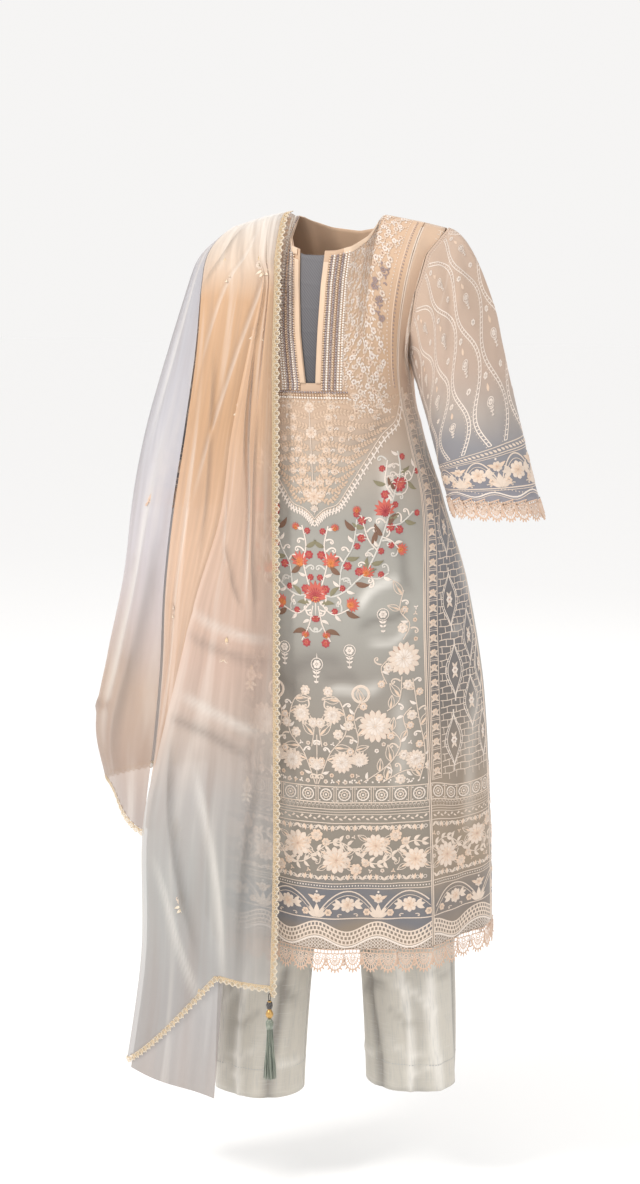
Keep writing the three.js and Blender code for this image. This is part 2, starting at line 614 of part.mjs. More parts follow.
// ---------------------------------------------------------------- dupatta
// A point on one of the long folds; v counts the rows of DRAPE.
function drapeLine(line, v) {
  const last = DRAPE.length - 1;
  const i = clamp(Math.floor(v), 0, last - 1);
  const t = v - i;
  const pick = (n) => {
    const row = DRAPE[clamp(n, 0, last)];
    return [row[line][0], row[line][1], n < 2 ? SHOULDER_ROWS[Math.max(n, 0)][line] : row.z];
  };
  const [a, b, c, d] = [pick(i - 1), pick(i), pick(i + 1), pick(i + 2)];
  return new THREE.Vector3(
    between(a[0], b[0], c[0], d[0], t),
    between(a[1], b[1], c[1], d[1], t),
    between(a[2], b[2], c[2], d[2], t),
  );
}

// The front stretch, from its lace edge (u = 0) to the fold (u = 1), with soft pleats down its length.
function frontDrape(u, v) {
  const point = drapeLine('lace', v).lerp(drapeLine('fold', v), u);
  const grown = smooth((v - 3) / 4);
  const pleats = Math.sin(u * 9.2 + 0.7) * 4 * grown;
  const belly = Math.sin(Math.PI * clamp(u, 0, 1)) * 14 * grown;
  point.y -= pleats + belly;
  return point;
}
function middleDrape(u, v) {
  const from = drapeLine('fold', v);
  from.x += -2.2 + 14.2 * smooth(v / 3);
  from.y += 9 * smooth(v / 1.5) + 4 * smooth(v - 2);
  const point = from.lerp(drapeLine('mid', v), u);
  const grown = smooth((v - 2) / 4);
  point.y -= Math.sin(Math.PI * u) * 10 * grown + Math.sin(u * 10) * 2.4 * grown;
  return point;
}
function outerDrape(u, v) {
  const curve = new THREE.QuadraticBezierCurve3(
    drapeLine('mid', v),
    drapeLine('outer', v).multiplyScalar(2)
      .sub(drapeLine('mid', v).add(drapeLine('back', v)).multiplyScalar(0.5)),
    drapeLine('back', v),
  );
  const point = curve.getPoint(u);
  const grown = smooth((v - 3) / 4) * Math.sin(Math.PI * clamp(u, 0, 1));
  point.x -= Math.sin(u * 15) * 4 * grown;
  return point;
}
function backDrape(u, v) {
  const point = drapeLine('inner', v).lerp(drapeLine('back', v), u);
  const grown = smooth((v - 3) / 4);
  point.y += (Math.sin(u * 12) * 5 + Math.sin(Math.PI * clamp(u, 0, 1)) * 14) * grown;
  return point;
}

// Where each stretch ends, in rows of DRAPE: the hem slopes from one long edge to the other.
const frontEnd = (u) => lerp(11.02, 11.82, Math.max(u - 0.4, 0) / 0.6);
const underEnd = (u) => lerp(12.08, 11.92, u);
const outerEnd = (u) => lerp(10.05, 9.6, smooth(u / 0.45));
const middleEnd = () => 10;
const backEnd = (u) => lerp(9.5, 9.6, u);

const SHEER = 1.2;
const TO_FRONT = { from: -SHEER / 2, to: SHEER / 2, step: [0.01, 0.05], flip: -1 };
function stretch(columns, rowCount, first, end) {
  return grid(columns, steps(0, 1, rowCount), (u, w) => [u, lerp(first, end(u), w)]);
}
addNode('dupatta_front', wall(stretch(steps(0, 1, 10), 20, 0, frontEnd), frontDrape, TO_FRONT), sheer);

// The layer folded behind the front stretch: close to it at the fold, and hanging a little lower.
const underDrape = (u, v) => {
  const point = frontDrape(u, v);
  const back = SHEER + 6 * SEAM + 6 * (1 - u) * smooth((v - 1) / 3);
  return point.addScaledVector(normalAt(frontDrape, u, v, [0.01, 0.05], -1), back);
};
const underPattern = grid(steps(0, 1, 6), steps(0, 1, 18), (share, w) => {
  const v = lerp(2.6, underEnd(share), w);
  const inner = lerp(0.35, 0.38, smooth((v - 7) / 5));
  return [lerp(inner, 0.97, share), v];
});
addNode('dupatta_under', wall(underPattern, underDrape, TO_FRONT), sheer);
const middlePattern = stretch(steps(0, 0.998, 6), 16, 0, middleEnd);
addNode('dupatta_middle', wall(middlePattern, middleDrape, TO_FRONT), sheer);
const outerColumns = steps(0.01, 0.99, 12);
addNode('dupatta_outer', wall(stretch(outerColumns, 14, 0.1, outerEnd), outerDrape, TO_FRONT), sheer);
addNode('dupatta_back', wall(stretch(steps(0, 0.99, 8), 14, 0, backEnd), backDrape,
  { ...TO_FRONT, flip: 1 }), sheer);

// Narrow looped lace along the dupatta's edges.
const EDGE_LACE = 11;
function edgeAcross(surface, v) {
  return surface(0.05, v).distanceTo(surface(0, v)) / 0.05;
}
const edgePattern = grid([SEAM, EDGE_LACE], steps(0.05, 11, 20), (mm, v) => {
  return [-mm / edgeAcross(frontDrape, v), v];
});
addNode('dupatta_lace_front_edge', wall(edgePattern, frontDrape, TO_FRONT), goldLace);
function hemLace(surface, columns, end) {
  return grid(columns, [SEAM, EDGE_LACE], (u, mm) => {
    const v = end(u);
    const perRow = surface(u, v).distanceTo(surface(u, v - 0.1)) / 0.1;
    return [u, v + mm / perRow];
  });
}
addNode('dupatta_lace_front_hem',
  wall(hemLace(frontDrape, steps(0, 1, 10), frontEnd), frontDrape, TO_FRONT), goldLace);
addNode('dupatta_lace_outer_hem',
  wall(hemLace(outerDrape, outerColumns, outerEnd), outerDrape, TO_FRONT), goldLace);
addNode('dupatta_lace_back_hem',
  wall(hemLace(backDrape, steps(0, 0.99, 8), backEnd), backDrape, { ...TO_FRONT, flip: 1 }), goldLace);

// ---------------------------------------------------------------- tassel
const corner = frontDrape(0, frontEnd(0));
const TASSEL_TOP = corner.z - EDGE_LACE - 1.2;
const CORD_LONG = 12;
const BEADS_LONG = 27;
const beadProfile = [
  [0, 0], [1.1, 0], [1.1, -CORD_LONG], [4.2, -CORD_LONG - 2], [5.2, -CORD_LONG - 6.5],
  [4.2, -CORD_LONG - 11], [1.6, -CORD_LONG - 13], [4.6, -CORD_LONG - 16], [6, -CORD_LONG - 20.5],
  [4.6, -CORD_LONG - 25], [1.5, -CORD_LONG - BEADS_LONG], [0, -CORD_LONG - BEADS_LONG],
].map(([r, z]) => new THREE.Vector2(r, z));
const beads = new THREE.LatheGeometry(beadProfile.slice().reverse(), 12);
beads.rotateX(Math.PI / 2);
beads.translate(corner.x - 1, corner.y, TASSEL_TOP);
addNode('tassel_beads', toGeometry(toSolid(beads)), goldMetal);

const headTop = TASSEL_TOP - CORD_LONG - BEADS_LONG - SEAM;
const headProfile = [[0, 0], [2.6, 0], [5, -4], [6, -10], [5.4, -16], [0, -16]]
  .map(([r, z]) => new THREE.Vector2(r, z));
const head = new THREE.LatheGeometry(headProfile.slice().reverse(), 12);
head.rotateX(Math.PI / 2);
let tassel = toSolid(head);
const RINGS = [
  { threads: 1, root: 0, foot: 0 },
  { threads: 7, root: 2.1, foot: 6 },
  { threads: 12, root: 4.4, foot: 12 },
];
const THREAD_LONG = 84;
const THREAD_HALF = 0.95;
const ROOT_Z = -12;                   // the threads start inside the head, this far down it
for (const ring of RINGS) {
  for (let i = 0; i < ring.threads; i += 1) {
    const around = (i / ring.threads) * 2 * Math.PI + ring.root;
    const outwards = new THREE.Vector3(Math.cos(around), Math.sin(around) * 0.8, 0);
    const route = new THREE.CatmullRomCurve3([0, 0.35, 0.7, 1].map((t) => {
      const r = lerp(ring.root, ring.foot, smooth(t * 0.9));
      return outwards.clone().multiplyScalar(r).setZ(ROOT_Z - THREAD_LONG * t);
    }));
    const section = new THREE.Shape([0, 1, 2].map((n) => {
      const a = (n / 3) * 2 * Math.PI;
      return new THREE.Vector2(Math.cos(a) * THREAD_HALF, Math.sin(a) * THREAD_HALF);
    }));
    const thread = new THREE.ExtrudeGeometry(section, { steps: 4, extrudePath: route, bevelEnabled: false });
    tassel = tassel.add(toSolid(thread));
  }
}
const tasselGeometry = toGeometry(tassel);
tasselGeometry.translate(corner.x - 1, corner.y, headTop);
addNode('tassel', tasselGeometry, tasselThread);

export default group;
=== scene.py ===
# A straight kurta with side panels, straight trousers and a sheer dupatta, hollow, as they hang when worn.
# Metres, +Z up. The wearer faces -Y and the wearer's left is +X.
import math
import bpy
import numpy as np
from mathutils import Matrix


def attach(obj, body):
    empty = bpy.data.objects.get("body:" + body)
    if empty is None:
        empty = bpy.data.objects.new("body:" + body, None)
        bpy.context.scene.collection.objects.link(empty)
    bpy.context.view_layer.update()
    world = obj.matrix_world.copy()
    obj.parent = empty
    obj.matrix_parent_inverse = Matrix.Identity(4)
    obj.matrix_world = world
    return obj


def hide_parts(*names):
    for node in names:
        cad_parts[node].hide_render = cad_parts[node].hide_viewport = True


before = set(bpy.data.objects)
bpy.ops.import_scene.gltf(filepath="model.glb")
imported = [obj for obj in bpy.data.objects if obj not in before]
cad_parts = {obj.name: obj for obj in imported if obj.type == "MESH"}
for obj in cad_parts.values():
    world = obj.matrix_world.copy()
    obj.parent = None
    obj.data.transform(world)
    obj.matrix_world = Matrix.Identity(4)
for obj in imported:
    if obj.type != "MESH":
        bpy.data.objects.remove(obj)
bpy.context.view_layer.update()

# ---------------------------------------------------------------- front panel
# One long panel of fine lawn, dyed from peach at the yoke to grey-green, cut with a scoop neck and a narrow
# slit. It is sewn to a side panel down each long edge. The body below the bust is an oval at each height.
MM = 0.001
HEM_Z = -1078
BUST_Z = -250
SIDE_RISE = 18
YOKE_TURN = -6
ARMPIT_SHIFT = -12
BACK_FLATTER = 0.92
YOKE_CUT = 235              # length of cloth from the bust line up to the neck

# z, half width, half depth, shift to +X, turn, angle of the front seam
BODY = np.array([
    (-250, 123, 108, -14, -2, 70),
    (-300, 131, 112, -12, 0, 69),
    (-400, 154, 121, -4, 0, 66),
    (-540, 190, 134, 2, 0, 52),
    (-700, 213, 144, 7, 0, 46),
    (-900, 224, 150, 9, 0, 45),
    (-1125, 229, 153, 10, 0, 45),
], float)
# angle round the body, half width in degrees, depth, height where the flute dies away
FLUTES = [
    (17, 13, -9, -620), (43, 12, 12, -560), (66, 13, -8, -600), (-20, 13, -7, -640),
    (-44, 12, 10, -560), (-68, 13, -8, -600), (118, 14, -9, -560), (142, 13, 10, -600),
    (180, 16, -7, -640), (-145, 13, 10, -580), (-120, 13, -8, -600),
]
# place from the centre (0) over the front seam (1) to the side seam (2), the edge x, y, z, its lead x, y, z
FRONT_TOP = np.array([
    (0, 0, -84, -52, 0, -9, -70),
    (0.18, 26, -82, -51, 0, -9, -70),
    (0.36, 46, -72, -45, 0, -12, -65),
    (0.5, 60, -46, -31, 0, -28, -45),
    (0.6, 68, -0.6, 0, 0, -52, -22),
    (0.8, 100, -0.6, -6, 3, -56, -22),
    (1, 131, -0.6, -12, 4, -60, -26),
    (1.15, 165, -0.6, -20, -2, -52, -24),
    (1.35, 150, -46, -56, -6, -12, -40),
    (1.55, 142, -64, -108, -8, -4, -40),
    (1.78, 134, -50, -165, -8, -2, -30),
    (2, 116, -0.5, -207, 1, 0, -14),
], float)
BACK_TOP = np.array([
    (0, 0, 64, -22, 0, 14, -60),
    (0.25, 38, 55, -17, 0, 16, -60),
    (0.45, 60, 30, -8, 0, 30, -40),
    (0.55, 68, 0.6, 0, 0, 50, -18),
    (0.95, 131, 0.6, -12, 0, 56, -20),
    (1.2, 165, 0.6, -20, -2, 52, -24),
    (1.4, 151, 44, -74, -4, 10, -40),
    (1.7, 136, 46, -150, -8, 2, -30),
    (2, 116, 0.8, -207, 1, 0, -14),
], float)
# height, middle and half width of the neck slit
SLIT = np.array([(-30, -20, 22), (-100, -21, 17), (-170, -19, 13), (-243, -14, 7)], float)


def smooth(x):
    t = np.clip(x, 0, 1)
    return t * t * (3 - 2 * t)


def blend(a, b, t):
    return a + (b - a) * t


def read_rows(rows, place, straight=False):
    """Reads a table at any place between its rows, along straight or smooth lines."""
    place = np.asarray(place, float)
    keys = rows[:, 0]
    sign = 1 if keys[1] > keys[0] else -1
    i = np.clip(np.searchsorted(sign * keys, sign * place, side="right") - 1, 0, len(rows) - 2)
    t = np.clip((place - keys[i]) / (keys[i + 1] - keys[i]), 0, 1)[..., None]
    b, c = rows[i], rows[i + 1]
    if straight:
        return b + (c - b) * t
    a, d = rows[np.maximum(i - 1, 0)], rows[np.minimum(i + 2, len(rows) - 1)]
    rise_b, rise_c = (c - a) / 2, (d - b) / 2
    t2, t3 = t ** 2, t ** 3
    return (2 * t3 - 3 * t2 + 1) * b + (t3 - 2 * t2 + t) * rise_b + (3 * t2 - 2 * t3) * c + (t3 - t2) * rise_c


def turned(points, degrees):
    c, s = np.cos(np.radians(degrees)), np.sin(np.radians(degrees))
    x, y, z = points[..., 0], points[..., 1], points[..., 2]
    return np.stack([x * c - y * s, x * s + y * c, z], -1)


def oval_point(angle, z):
    row = read_rows(BODY, z)
    out = np.zeros(np.broadcast(angle, z).shape)
    for at, wide, deep, top in FLUTES:
        away = np.abs(angle - at)
        away = np.where(away > 180, 360 - away, away)
        out = out + deep * smooth(1 - away / wide) * smooth((top - z) / (top - HEM_Z))
    a = np.radians(angle)
    flat = np.where(np.abs(angle) > 90, BACK_FLATTER, 1)
    x = (row[..., 1] + out) * np.sin(a)
    y = -(row[..., 2] + out) * np.cos(a) * flat
    point = turned(np.stack([x, y, np.zeros_like(x)], -1), row[..., 4])
    point[..., 0] += row[..., 3]
    point[..., 2] = z + SIDE_RISE * np.sin(a) ** 2 * smooth((BUST_Z - z) / (BUST_Z - HEM_Z))
    return point


def top_edge(table, at, side):
    row = read_rows(table, at, straight=True)
    mirror = np.stack([side * np.ones_like(at), np.ones_like(at), np.ones_like(at)], -1)
    edge = turned(row[..., 1:4] * mirror, YOKE_TURN)
    lead = turned(row[..., 4:7] * mirror, YOKE_TURN)
    edge[..., 0] += ARMPIT_SHIFT * np.maximum(at - 1.5, 0) / 0.5
    return edge, lead


def bezier(a, b, c, d, t):
    t = t[..., None]
    return a * (1 - t) ** 3 + 3 * b * t * (1 - t) ** 2 + 3 * c * t ** 2 * (1 - t) + d * t ** 3


def body_point(at, v, back=False):
    """The kurta's body: v is the height below the bust in mm, and 0 to 1 from the bust to the upper edge."""
    at, v = np.broadcast_arrays(np.asarray(at, float), np.asarray(v, float))
    side = np.where(at < 0, -1, 1)
    place = np.abs(at)
    z = np.where(v > 0, BUST_Z, v + BUST_Z)
    seam = read_rows(BODY, z)[..., 5]
    angle = np.where(place < 1, seam * place, seam + (90 - seam) * (place - 1))
    if back:
        angle = 180 - 45 * place
    base = oval_point(angle * side, z)
    edge, lead = top_edge(BACK_TOP if back else FRONT_TOP, place, side)
    slope = (base - oval_point(angle * side, np.full_like(z, BUST_Z - 20))) / 20
    rise = (edge[..., 2:] - BUST_Z) * 0.36
    curve = bezier(base, base + slope * rise, edge + lead, edge, np.clip(v, 0, 1))
    return np.where(v[..., None] <= 0, base, curve)


def front_point(at, v):
    return body_point(at, v)


def back_point(at, v):
    return body_point(at, v, back=True)


def cut_height(v):
    """The height on the flat cut, in mm, of a row of the body."""
    return np.where(v > 0, BUST_Z + v * YOKE_CUT, v + BUST_Z)


def row_of(height):
    return np.where(height > BUST_Z, (height - BUST_Z) / YOKE_CUT, height - BUST_Z)


# Soft creases pressed into the worn cloth: from (s, height) to (s, height) in mm on the flat cut, half width,
# depth (negative is a trough).
FRONT_CREASES = [
    (62, -560, 118, -520, 8, 4.6), (70, -596, 135, -566, 7, -4.2), (40, -640, -40, -655, 14, -3.4),
    (-60, -500, -128, -470, 12, 2.8), (20, -690, 96, -676, 9, 3.2), (-110, -640, -30, -700, 14, -2.6),
    (60, -330, 120, -300, 12, -3.0), (112, -360, 94, -450, 9, 3.4), (-100, -380, -80, -450, 11, -2.6),
    (84, -620, 140, -600, 6, 3.2), (10, -660, 60, -672, 7, -2.8), (120, -470, 146, -540, 9, -3.2),
    (130, -700, 118, -830, 12, 2.0), (0, -760, 12, -900, 18, -1.6), (-50, -820, -58, -960, 16, 1.8),
]


# Depth of crease that takes the painted crease shade from middle grey to full shade or full highlight.
CREASE_SHADE_FULL = 9.0              # mm of crease from the middle grey to black or white


def pressed(points, outward, s, height, creases):
    """Moves a surface's points in or out along a few soft creases, and tells how far each one moved."""
    moved = np.zeros(np.shape(s))
    for s0, h0, s1, h1, wide, deep in creases:
        along = np.array([s1 - s0, h1 - h0], float)
        long = np.hypot(*along)
        along /= long
        run = ((s - s0) * along[0] + (height - h0) * along[1]) / long
        off = (s - s0) * along[1] - (height - h0) * along[0] + 5 * np.sin(run * 5 + s0)
        share = np.exp(-(off / wide) ** 2) * smooth(run * 2.5 + 0.5) * smooth((1 - run) * 2.5 + 0.5)
        moved = moved + deep * share
    return points + outward * moved[..., None], moved


def painted_crease_grey(moved):
    """A grey for each point for the painted crease shade: dark in a trough, pale on a ridge."""
    tone = np.clip(0.5 + np.ravel(moved) / CREASE_SHADE_FULL, 0, 1)[:, None]
    return np.concatenate([tone, tone, tone, np.ones_like(tone)], 1)


class FlatCut:
    """A panel laid flat: s across from its middle line and a height, in mm, and where that is in space."""
    STEP = 3.0

    def __init__(self, surface, rows, places, middle, flip, creases=(), stretch=None):
        self.flip = flip
        self.heights = np.arange(rows[0], rows[1] + self.STEP, self.STEP)
        at = np.linspace(places[0], places[1], 121)
        grid_at, grid_h = np.meshgrid(at, self.heights)
        raw = surface(grid_at, stretch(grid_h) if stretch else row_of(grid_h))
        run = np.linalg.norm(np.diff(raw, axis=1), axis=2)
        length = np.concatenate([np.zeros((len(raw), 1)), np.cumsum(run, axis=1)], axis=1)
        zero = np.array([np.interp(middle, at, row) for row in length])
        length = length - zero[:, None]
        self.at, self.length = at, length
        self.left, self.right = length[:, 0], length[:, -1]
        self.s0 = length.min() - self.STEP
        self.s = np.arange(self.s0, length.max() + 2 * self.STEP, self.STEP)
        self.points = np.empty((len(self.heights), len(self.s), 3))
        for j in range(len(self.heights)):
            for k in range(3):
                self.points[j, :, k] = np.interp(self.s, length[j], raw[j, :, k])
        down = np.gradient(self.points, axis=0)
        across = np.gradient(self.points, axis=1)
        beyond = np.linalg.norm(across, axis=2) < 0.5
        outward = np.cross(across, down) * flip
        size = np.linalg.norm(outward, axis=2, keepdims=True)
        outward = outward / np.maximum(size, 1e-6)
        for j in range(len(self.heights)):
            good = np.flatnonzero(~beyond[j])
            outward[j, :good[0] + 1] = outward[j, good[0] + 1]
            outward[j, good[-1]:] = outward[j, good[-1] - 1]
        self.outward = outward
        grid_s, grid_h = np.meshgrid(self.s, self.heights)
        self.points, self.moved = pressed(self.points, outward, grid_s, grid_h, creases)

    def _look(self, table, s, height):
        i = np.clip((height - self.heights[0]) / self.STEP, 0, len(self.heights) - 1.001)
        j = np.clip((s - self.s0) / self.STEP, 0, len(self.s) - 1.001)
        i0, j0 = i.astype(int), j.astype(int)
        a, b = (i - i0)[:, None], (j - j0)[:, None]
        top = table[i0, j0] * (1 - b) + table[i0, j0 + 1] * b
        low = table[i0 + 1, j0] * (1 - b) + table[i0 + 1, j0 + 1] * b
        return top * (1 - a) + low * a

    def carry(self, s, height, lift=0.0):
        s, height = np.asarray(s, float).ravel(), np.asarray(height, float).ravel()
        place = self._look(self.points, s, height)
        return place + self._look(self.outward, s, height) * np.reshape(lift, (-1, 1))

    # The grey of the painted crease shade at places on the cut.
    def tone(self, s, height):
        return painted_crease_grey(self._look(self.moved[..., None], np.ravel(s), np.ravel(height)))

    def facing(self, s, height):
        return self._look(self.outward, np.asarray(s, float).ravel(), np.asarray(height, float).ravel())

    def edges(self, height):
        return (float(np.interp(height, self.heights, self.left)),
                float(np.interp(height, self.heights, self.right)))


def lay_mesh(name, points, faces, uv=None, tint=None):
    """A mesh object from points in mm, faces, and a flat place and thread colour for each point; on cloth
    that colour is the grey of the painted crease shade.
    """
    mesh = bpy.data.meshes.new(name)
    mesh.from_pydata((np.asarray(points) * MM).tolist(), [], [tuple(f) for f in faces])
    index = np.empty(len(mesh.loops), int)
    mesh.loops.foreach_get("vertex_index", index)
    if uv is not None:
        layer = mesh.uv_layers.new(name="cut")
        corner = uv if len(uv) == len(index) else np.asarray(uv)[index]
        layer.data.foreach_set("uv", np.ascontiguousarray(corner, dtype=np.float32).ravel())
    if tint is not None:
        layer = mesh.color_attributes.new(name="thread", type="FLOAT_COLOR", domain="POINT")
        layer.data.foreach_set("color", np.ascontiguousarray(tint, dtype=np.float32).ravel())
    mesh.polygons.foreach_set("use_smooth", np.ones(len(mesh.polygons), bool))
    mesh.update()
    made = bpy.data.objects.new(name, mesh)
    bpy.context.scene.collection.objects.link(made)
    return made


def grid_faces(columns, rows, flip=False, skip=None, closed=False):
    faces = []
    for i in range(columns - 1):
        nxt = (i + 1) % (columns - 1) if closed else i + 1
        for j in range(rows - 1):
            if skip is not None and skip(i, j):
                continue
            face = (i * rows + j, nxt * rows + j, nxt * rows + j + 1, i * rows + j + 1)
            faces.append(face[::-1] if flip else face)
    return faces


def thicken(piece, wall):
    """Gives a sheet its wall, half to each side."""
    solidify = piece.modifiers.new("wall", "SOLIDIFY")
    solidify.thickness = wall * MM
    solidify.offset = 0
    return piece


def dressed(piece, finish, node=None):
    """Gives a piece its finish and its slot, and the solid that it is seen for."""
    piece.data.materials.append(finish)
    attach(piece, "root")
    if node:
        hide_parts(node)
    return piece


class Signal:
    """A shader socket that can be used in sums."""

    def __init__(self, paint, socket):
        self.paint, self.socket = paint, socket

    def math(self, operation, *others):
        values = {i: value for i, value in enumerate((self,) + others)}
        return self.paint.node("ShaderNodeMath", {"operation": operation}, values)

    def __add__(self, other):
        return self.math("ADD", other)

    def __mul__(self, other):
        return self.math("MULTIPLY", other)

    def __sub__(self, other):
        return self.math("SUBTRACT", other)

    def __rsub__(self, other):
        return self.math("MULTIPLY", -1.0).math("ADD", other)

    def __truediv__(self, other):
        return self.math("DIVIDE", other)

    __radd__ = __add__
    __rmul__ = __mul__

    def wave(self, period):
        """0 to 1 and back once in each period."""
        return (self * (2 * math.pi / period)).math("SINE") * 0.5 + 0.5

    def between(self, low, high):
        ends = {"From Min": low, "From Max": high}
        settings = {"interpolation_type": "SMOOTHSTEP"}
        return self.paint.node("ShaderNodeMapRange", settings, {"Value": self, **ends})


class Paint:
    """A material with one Principled shader."""

    def __init__(self, name, **constants):
        self.material = bpy.data.materials.new(name)
        self.material.use_nodes = True
        self.tree = self.material.node_tree
        self.shader = self.tree.nodes["Principled BSDF"]
        for key, value in constants.items():
            self.shader.inputs[key.replace("_", " ")].default_value = value

    def node(self, kind, settings=None, inputs=None, out=0):
        made = self.tree.nodes.new(kind)
        for key, value in (settings or {}).items():
            setattr(made, key, value)
        for key, value in (inputs or {}).items():
            self.feed(made.inputs[key], value)
        return Signal(self, made.outputs[out])

    def feed(self, socket, value):
        if isinstance(value, Signal):
            self.tree.links.new(value.socket, socket)
        else:
            socket.default_value = value

    def place(self):
        """Object coordinates in metres, as three signals."""
        spot = self.node("ShaderNodeTexCoord", out=3)
        split = self.node("ShaderNodeSeparateXYZ", None, {0: spot})
        sockets = split.socket.node.outputs
        return spot, Signal(self, sockets[0]), Signal(self, sockets[1]), Signal(self, sockets[2])

    def cut(self):
        """The place on the flat cut in metres."""
        spot = self.node("ShaderNodeUVMap", {"uv_map": "cut"})
        split = self.node("ShaderNodeSeparateXYZ", None, {0: spot})
        sockets = split.socket.node.outputs
        return spot, Signal(self, sockets[0]), Signal(self, sockets[1])

    def noise(self, spot, scale, detail=2.0):
        return self.node("ShaderNodeTexNoise", None, {"Vector": spot, "Scale": scale, "Detail": detail})

    def mix(self, share, a, b):
        made = self.tree.nodes.new("ShaderNodeMix")
        made.data_type = "RGBA"
        for socket, value in zip((made.inputs[0], made.inputs[6], made.inputs[7]), (share, a, b)):
            self.feed(socket, value)
        return Signal(self, made.outputs[2])

    def shades(self, signal, stops):
        """A run of colours: stops are (place, colour)."""
        made = self.tree.nodes.new("ShaderNodeValToRGB")
        ramp = made.color_ramp
        while len(ramp.elements) < len(stops):
            ramp.elements.new(0.5)
        for element, (at, colour) in zip(ramp.elements, stops):
            element.position = at
            element.color = colour
        self.feed(made.inputs[0], signal)
        return Signal(self, made.outputs[0])

    def bump(self, height, strength, distance):
        settings = {"Height": height, "Strength": strength, "Distance": distance}
        self.feed(self.shader.inputs["Normal"], self.node("ShaderNodeBump", None, settings))

    def folds(self, colour, depth=1.0):
        """Painted crease shade: darker in the cloth's troughs and a painted highlight paler on its ridges,
        from the grey that each point carries.
        """
        tone = self.node("ShaderNodeAttribute", {"attribute_name": "thread"}, out=2)
        colour = self.mix((0.5 - tone) * depth, colour, dye("#6b6560"))
        return self.mix((tone - 0.5) * depth, colour, dye("#fdf8f0"))

    def set(self, **sockets):
        for key, value in sockets.items():
            self.feed(self.shader.inputs[key.replace("_", " ")], value)
        return self.material


def dye(text):
    """A colour written as on a shade card, in the linear values that shaders use."""
    values = [int(text[i:i + 2], 16) / 255 for i in (1, 3, 5)]
    linear = [v / 12.92 if v <= 0.04045 else ((v + 0.055) / 1.055) ** 2.4 for v in values]
    return (*linear, 1.0)


def down_run(paint, high, stops, top=0.0, low=-1.35):
    """Colours down the garment: stops are (height in metres, colour), from the top down."""
    share = (top - high) / (top - low)
    return paint.shades(share, [((top - z) / (top - low), dye(colour)) for z, colour in stops])


def lawn_finish(name, stops, crease_shaded=True, sheen=0.25, roughness=0.62):
    """Fine lawn or organza, piece-dyed in a run of colours, with a faint uneven weave and, where asked,
    painted crease shade.
    """
    paint = Paint(name, Sheen_Weight=sheen, Sheen_Roughness=0.4, Specular_IOR_Level=0.35)
    spot, _, _, high = paint.place()
    flat, across, up = paint.cut()
    drift = paint.noise(spot, 7.0, 3.0) - 0.5
    colour = down_run(paint, high + drift * 0.05, stops)
    patches = paint.noise(spot, 19.0, 4.0)
    colour = paint.mix(patches.between(0.35, 0.75) * 0.16, colour, dye("#8f867d"))
    weave = across.wave(0.0011) * up.wave(0.0011)
    colour = paint.mix(weave * 0.08, colour, dye("#f4ede4"))
    # Painted crease shade and highlight, from the grey carried by each point.
    colour = paint.folds(colour) if crease_shaded else colour
    slub = paint.noise(paint.node("ShaderNodeMapping", None, {0: flat, 3: (900, 60, 1)}), 1.0, 2.0)
    paint.bump(weave * 0.5 + slub, 0.25, 0.0006)
    return paint.set(Base_Color=colour, Roughness=roughness + patches * 0.1)


FRONT_DYES = [
    (-0.01, "#d3b295"), (-0.20, "#cfae90"), (-0.28, "#c8ab93"), (-0.36, "#b3a699"), (-0.44, "#9f9b93"),
    (-0.56, "#a8a59d"), (-0.66, "#958f87"), (-0.74, "#928a80"), (-0.90, "#8a8175"), (-0.972, "#857d73"),
    (-0.99, "#6c6c71"), (-1.03, "#6f6e72"), (-1.05, "#8a7c6d"), (-1.08, "#9a8673"),
]
front_lawn = lawn_finish("front_lawn", FRONT_DYES)

front_cut = FlatCut(front_point, (HEM_Z, BUST_Z + YOKE_CUT), (-1, 1), 0, 1, FRONT_CREASES)
CLOTH_WALL = 1.0
SLIT_LEFT, SLIT_RIGHT = -0.22, -0.02      # grid lines that follow the slit's edges in the yoke
SLIT_FOOT_V = (SLIT[-1, 0] + 3 - BUST_Z) / YOKE_CUT


def slit_places(v):
    """Where the slit's edges lie across the panel at a row of the yoke."""
    at = np.linspace(-0.8, 0.8, 161)
    line = front_point(at, np.full_like(at, v))
    middle, half = read_rows(SLIT, np.interp(0, at, line[:, 2]), straight=True)[1:]
    return [float(np.interp(middle + side * half, line[:, 0], at)) for side in (-1, 1)]


def front_grid():
    columns = np.concatenate([
        np.linspace(-1, SLIT_LEFT, 40), np.linspace(SLIT_LEFT, SLIT_RIGHT, 11)[1:],
        np.linspace(SLIT_RIGHT, 1, 50)[1:],
    ])
    rows = np.concatenate([
        np.linspace(HEM_Z - BUST_Z, 0, 118), np.linspace(0, SLIT_FOOT_V, 3)[1:],
        np.linspace(SLIT_FOOT_V, 1, 40)[1:],
    ])
    foot = slit_places(SLIT_FOOT_V)
    at = np.empty((len(columns), len(rows)))
    for j, v in enumerate(rows):
        ends = slit_places(v) if v >= SLIT_FOOT_V else foot
        calm = smooth(-(v - SLIT_FOOT_V * YOKE_CUT) / 160) if v < SLIT_FOOT_V else 0
        left, right = blend(ends[0], SLIT_LEFT, calm), blend(ends[1], SLIT_RIGHT, calm)
        at[:, j] = np.interp(columns, [-1, SLIT_LEFT, SLIT_RIGHT, 1], [-0.9988, left, right, 0.9988])
    return columns, rows, at


def cut_place(cut, at, height):
    """The distance across the flat cut of a place on the panel."""
    i = np.clip((height - cut.heights[0]) / cut.STEP, 0, len(cut.heights) - 1.001)
    i0 = i.astype(int)
    share = np.clip((at - cut.at[0]) / (cut.at[-1] - cut.at[0]), 0, 1) * (len(cut.at) - 1.001)
    j0 = share.astype(int)
    a, b = i - i0, share - j0
    low = cut.length[i0, j0] * (1 - b) + cut.length[i0, j0 + 1] * b
    top = cut.length[i0 + 1, j0] * (1 - b) + cut.length[i0 + 1, j0 + 1] * b
    return low * (1 - a) + top * a


